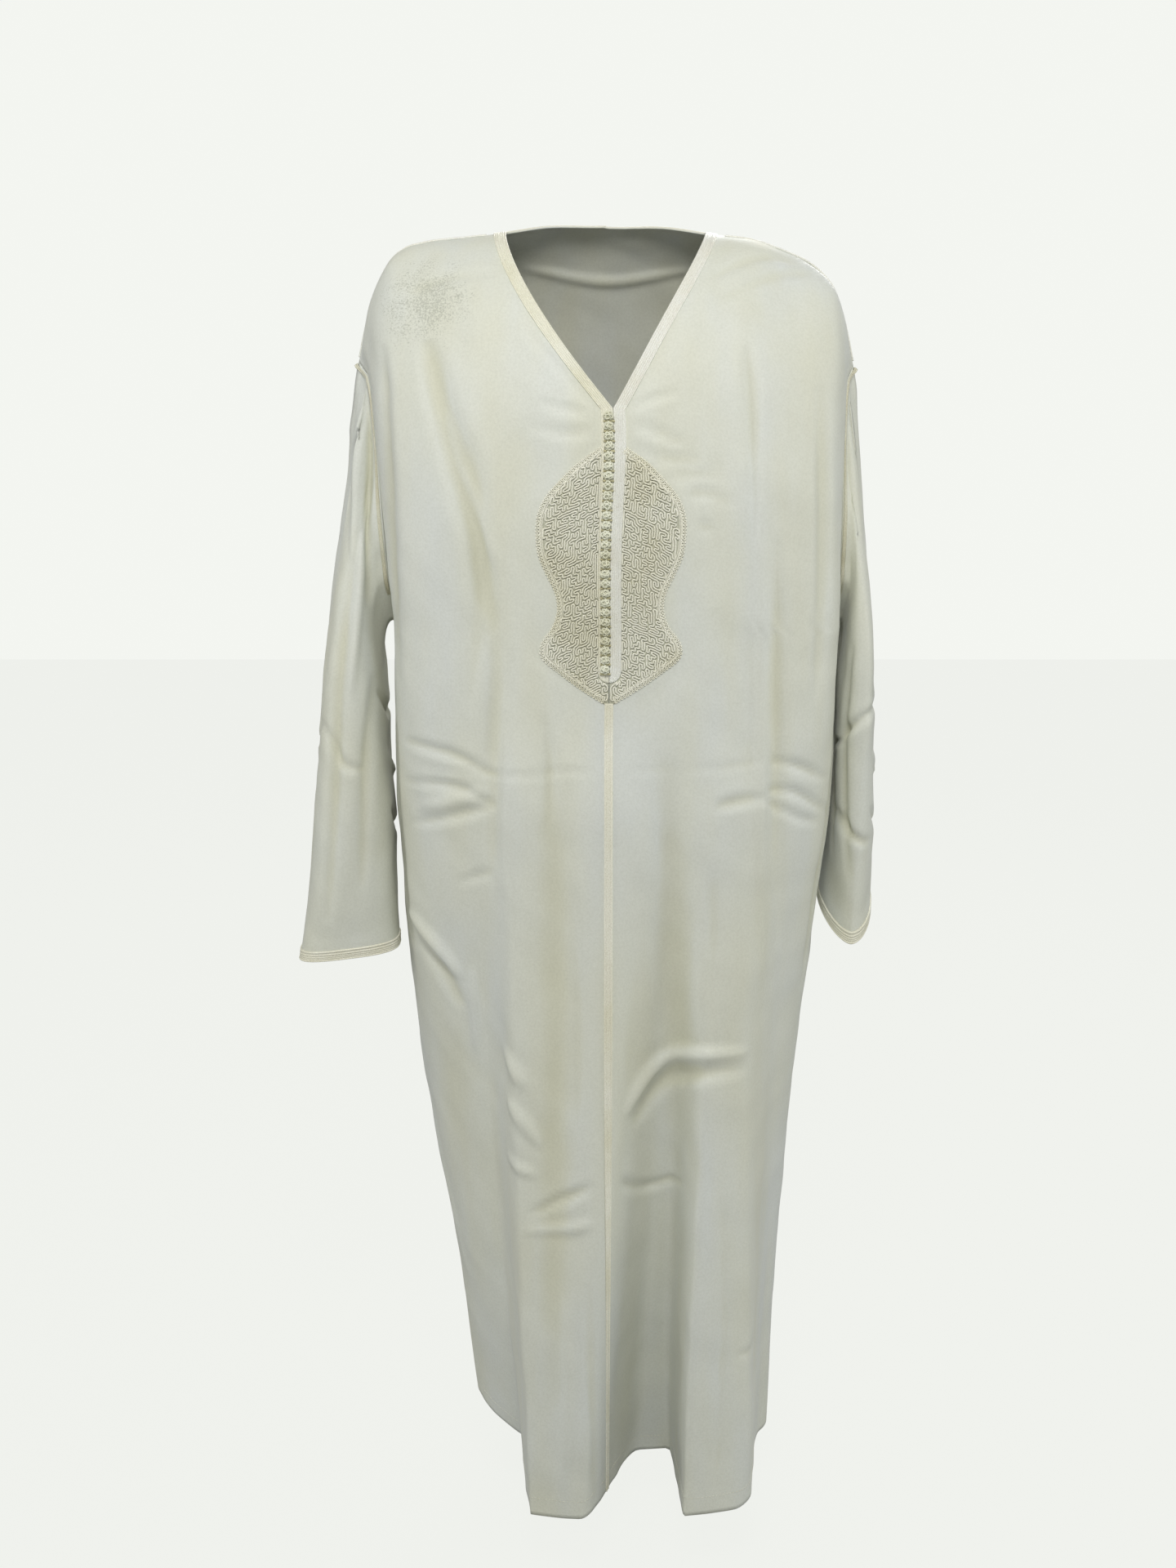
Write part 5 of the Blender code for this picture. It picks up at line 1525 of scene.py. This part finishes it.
# %% Loops between the knots
routes = []
for z in np.linspace(KNOT_TOP_Z, KNOT_BOTTOM_Z, KNOTS):
    gap = (KNOT_BOTTOM_Z - KNOT_TOP_Z) / (KNOTS - 1)
    for offset in (0.47, 0.53):
        height = z + offset * gap
        across = np.linspace(-0.0098, 0.0012, 9)
        rise = 0.0024 + 0.0012 * np.sin(np.linspace(0.0, math.pi, 9))
        points, out = front_place(across, np.full(9, float(row_at(height))))
        routes.append(points + out * rise[:, None])
# painted shade: the loops' darker golden colour fills the gaps between the knots
settle(cords("knot_loops", routes, 0.00075, KNOT_GAP_SHADE_THREAD), "braid_thread")
print(len(routes), "loop cords")


# %% [markdown]
# ## Stitching
# The hem is turned up by two centimetres and held by a row of small stitches, and so are the edges of the
# slits, though only the hem's rows are made here. A stitch is a short piece of thread that dips at both ends.
# There are hundreds, so each is a tapered bar of a few faces, copied along its row and laid on the creased cloth.

# %% Make rows of stitches
STITCH_LENGTH = 0.0026
STITCH_GAP = 0.0014
STITCH_RADIUS = 0.00022


def stitch_row(name, points, out, material):
    """Stitches along a line of points that lies on the cloth."""
    steps = np.concatenate([[0.0], np.cumsum(np.linalg.norm(np.diff(points, axis=0), axis=1))])
    read = lambda table, s: np.array([np.interp(s, steps, table[:, k]) for k in range(3)])
    mesh = bmesh.new()
    for start in np.arange(0.0, steps[-1] - STITCH_LENGTH, STITCH_LENGTH + STITCH_GAP):
        middle, normal = read(points, start + STITCH_LENGTH / 2), unit(read(out, start + STITCH_LENGTH / 2))
        ahead = unit(read(points, start + STITCH_LENGTH) - read(points, start))
        side = np.cross(normal, ahead)
        made = bmesh.ops.create_cube(mesh, size=1.0)["verts"]
        for vertex in made:
            x, y, z = vertex.co
            pinch = 0.5 if z > 0 else 1.0
            vertex.co = middle + (
                ahead * x * STITCH_LENGTH * (0.8 if z > 0 else 1.0)
                + side * y * STITCH_RADIUS * 2 * pinch
                + normal * (z * STITCH_RADIUS * 2 + STITCH_RADIUS * 0.4)
            )
    data = bpy.data.meshes.new(name)
    mesh.to_mesh(data)
    mesh.free()
    data.materials.append(material)
    data.shade_smooth()
    piece = bpy.data.objects.new(name, data)
    bpy.context.scene.collection.objects.link(piece)
    return piece


HEM_TURN = 0.020
for word, face, shares in (
    ("front_left", -1, np.linspace(-0.90, -0.02, 700)),
    ("front_right", -1, np.linspace(0.02, 0.90, 700)),
    ("back", 1, np.linspace(-0.90, 0.90, 1400)),
):
    v = np.full(len(shares), float(row_at(HEM_Z + HEM_TURN)))
    base, out = body(face, shares, v)[None], outward(face, shares, v)[None]
    line = creased(base, out, CREASES + HIDDEN_CREASES)[0][0]
    row = stitch_row(f"hem_stitches_{word}", line, out[0], THREAD)
    settle(row, "robe_cloth")
    print(row.name, "has", len(row.data.polygons) // 6, "stitches")


# %% [markdown]
# ## Floor, light and camera
# The robe is shown as it hangs, above a plain pale floor, in the soft light of a pale room: a bright world,
# one broad light from above the front, weaker ones from the right and the left to keep the folds round, and one
# from behind. The camera stands two metres away at neck height and looks down a little, which is what
# foreshortens the hem.

# %% Floor and world
FLOOR_Z = HEM_Z - 0.09
mesh = bmesh.new()
bmesh.ops.create_grid(mesh, x_segments=1, y_segments=1, size=6.0)
bmesh.ops.translate(mesh, verts=mesh.verts, vec=(0.0, 0.0, FLOOR_Z))
data = bpy.data.meshes.new("floor")
mesh.to_mesh(data)
mesh.free()
floor = bpy.data.objects.new("floor", data)
bpy.context.scene.collection.objects.link(floor)
WALL_COLOUR = (0.90, 0.915, 0.875, 1.0)
pale = bpy.data.materials.new("pale floor")
pale.use_nodes = True
tree = pale.node_tree
skin = tree.nodes["Principled BSDF"]
skin.inputs["Base Color"].default_value = (0.45, 0.455, 0.44, 1.0)
skin.inputs["Roughness"].default_value = 0.95
skin.inputs["Specular IOR Level"].default_value = 0.1
glow = add_node(tree, "ShaderNodeEmission", [("Color", WALL_COLOUR), ("Strength", 1.0)])
seen = tree.nodes.new("ShaderNodeLightPath")
share = add_node(tree, "ShaderNodeMath", [(0, seen.outputs["Is Camera Ray"]), (1, 0.94)], operation="MULTIPLY")
mix = add_node(tree, "ShaderNodeMixShader", [(0, share.outputs[0]), (1, skin.outputs[0]), (2, glow.outputs[0])])
tree.links.new(mix.outputs[0], tree.nodes["Material Output"].inputs["Surface"])
data.materials.append(pale)

world = bpy.data.worlds.new("pale room")
world.use_nodes = True
tree = world.node_tree
room = tree.nodes["Background"]
room.inputs["Color"].default_value = (0.90, 0.91, 0.89, 1.0)
room.inputs["Strength"].default_value = 0.43
wall = add_node(tree, "ShaderNodeBackground", [("Color", WALL_COLOUR), ("Strength", 1.0)])
seen = tree.nodes.new("ShaderNodeLightPath")
mix = add_node(tree, "ShaderNodeMixShader", [(0, seen.outputs["Is Camera Ray"]), (1, room.outputs[0]), (2, wall.outputs[0])])
tree.links.new(mix.outputs[0], tree.nodes["World Output"].inputs["Surface"])
bpy.context.scene.world = world
bpy.context.scene.view_settings.view_transform = "Standard"
print("floor at", round(FLOOR_Z, 3))


# %% Lights and camera
def area_light(name, place, target, size, power, colour):
    light = bpy.data.lights.new(name, "AREA")
    light.shape = "DISK"
    light.size = size
    light.energy = power
    light.color = colour
    lamp = bpy.data.objects.new(name, light)
    lamp.location = place
    lamp.rotation_euler = (Vector(target) - Vector(place)).to_track_quat("-Z", "Y").to_euler()
    bpy.context.scene.collection.objects.link(lamp)
    return lamp


area_light("key light", (-0.05, -1.9, 1.25), (0.0, 0.0, -0.5), 0.7, 32.0, (1.0, 0.99, 0.965))
area_light("right fill", (2.4, -0.5, 0.0), (0.0, 0.0, -0.6), 1.2, 14.0, (0.96, 0.985, 1.0))
area_light("left fill", (-2.3, -0.9, 0.0), (0.0, 0.0, -0.6), 1.2, 11.0, (0.98, 0.99, 1.0))
area_light("back fill", (0.6, 2.4, 0.9), (0.0, 0.0, -0.6), 1.4, 34.0, (1.0, 0.995, 0.98))

CAMERA_DISTANCE = 2.05
CAMERA_X = -0.019
CAMERA_Z = -0.10
CAMERA_DOWN = math.radians(13.25)
CAMERA_LENS = 43.875
camera_data = bpy.data.cameras.new("camera")
camera_data.lens = CAMERA_LENS
camera_data.sensor_width = 36.0
camera = bpy.data.objects.new("camera", camera_data)
camera.location = (CAMERA_X, -CAMERA_DISTANCE, CAMERA_Z)
camera.rotation_euler = (math.pi / 2 - CAMERA_DOWN, 0.0, 0.0)
bpy.context.scene.collection.objects.link(camera)
bpy.context.scene.camera = camera
print("camera looks down by", round(math.degrees(CAMERA_DOWN), 2), "degrees")
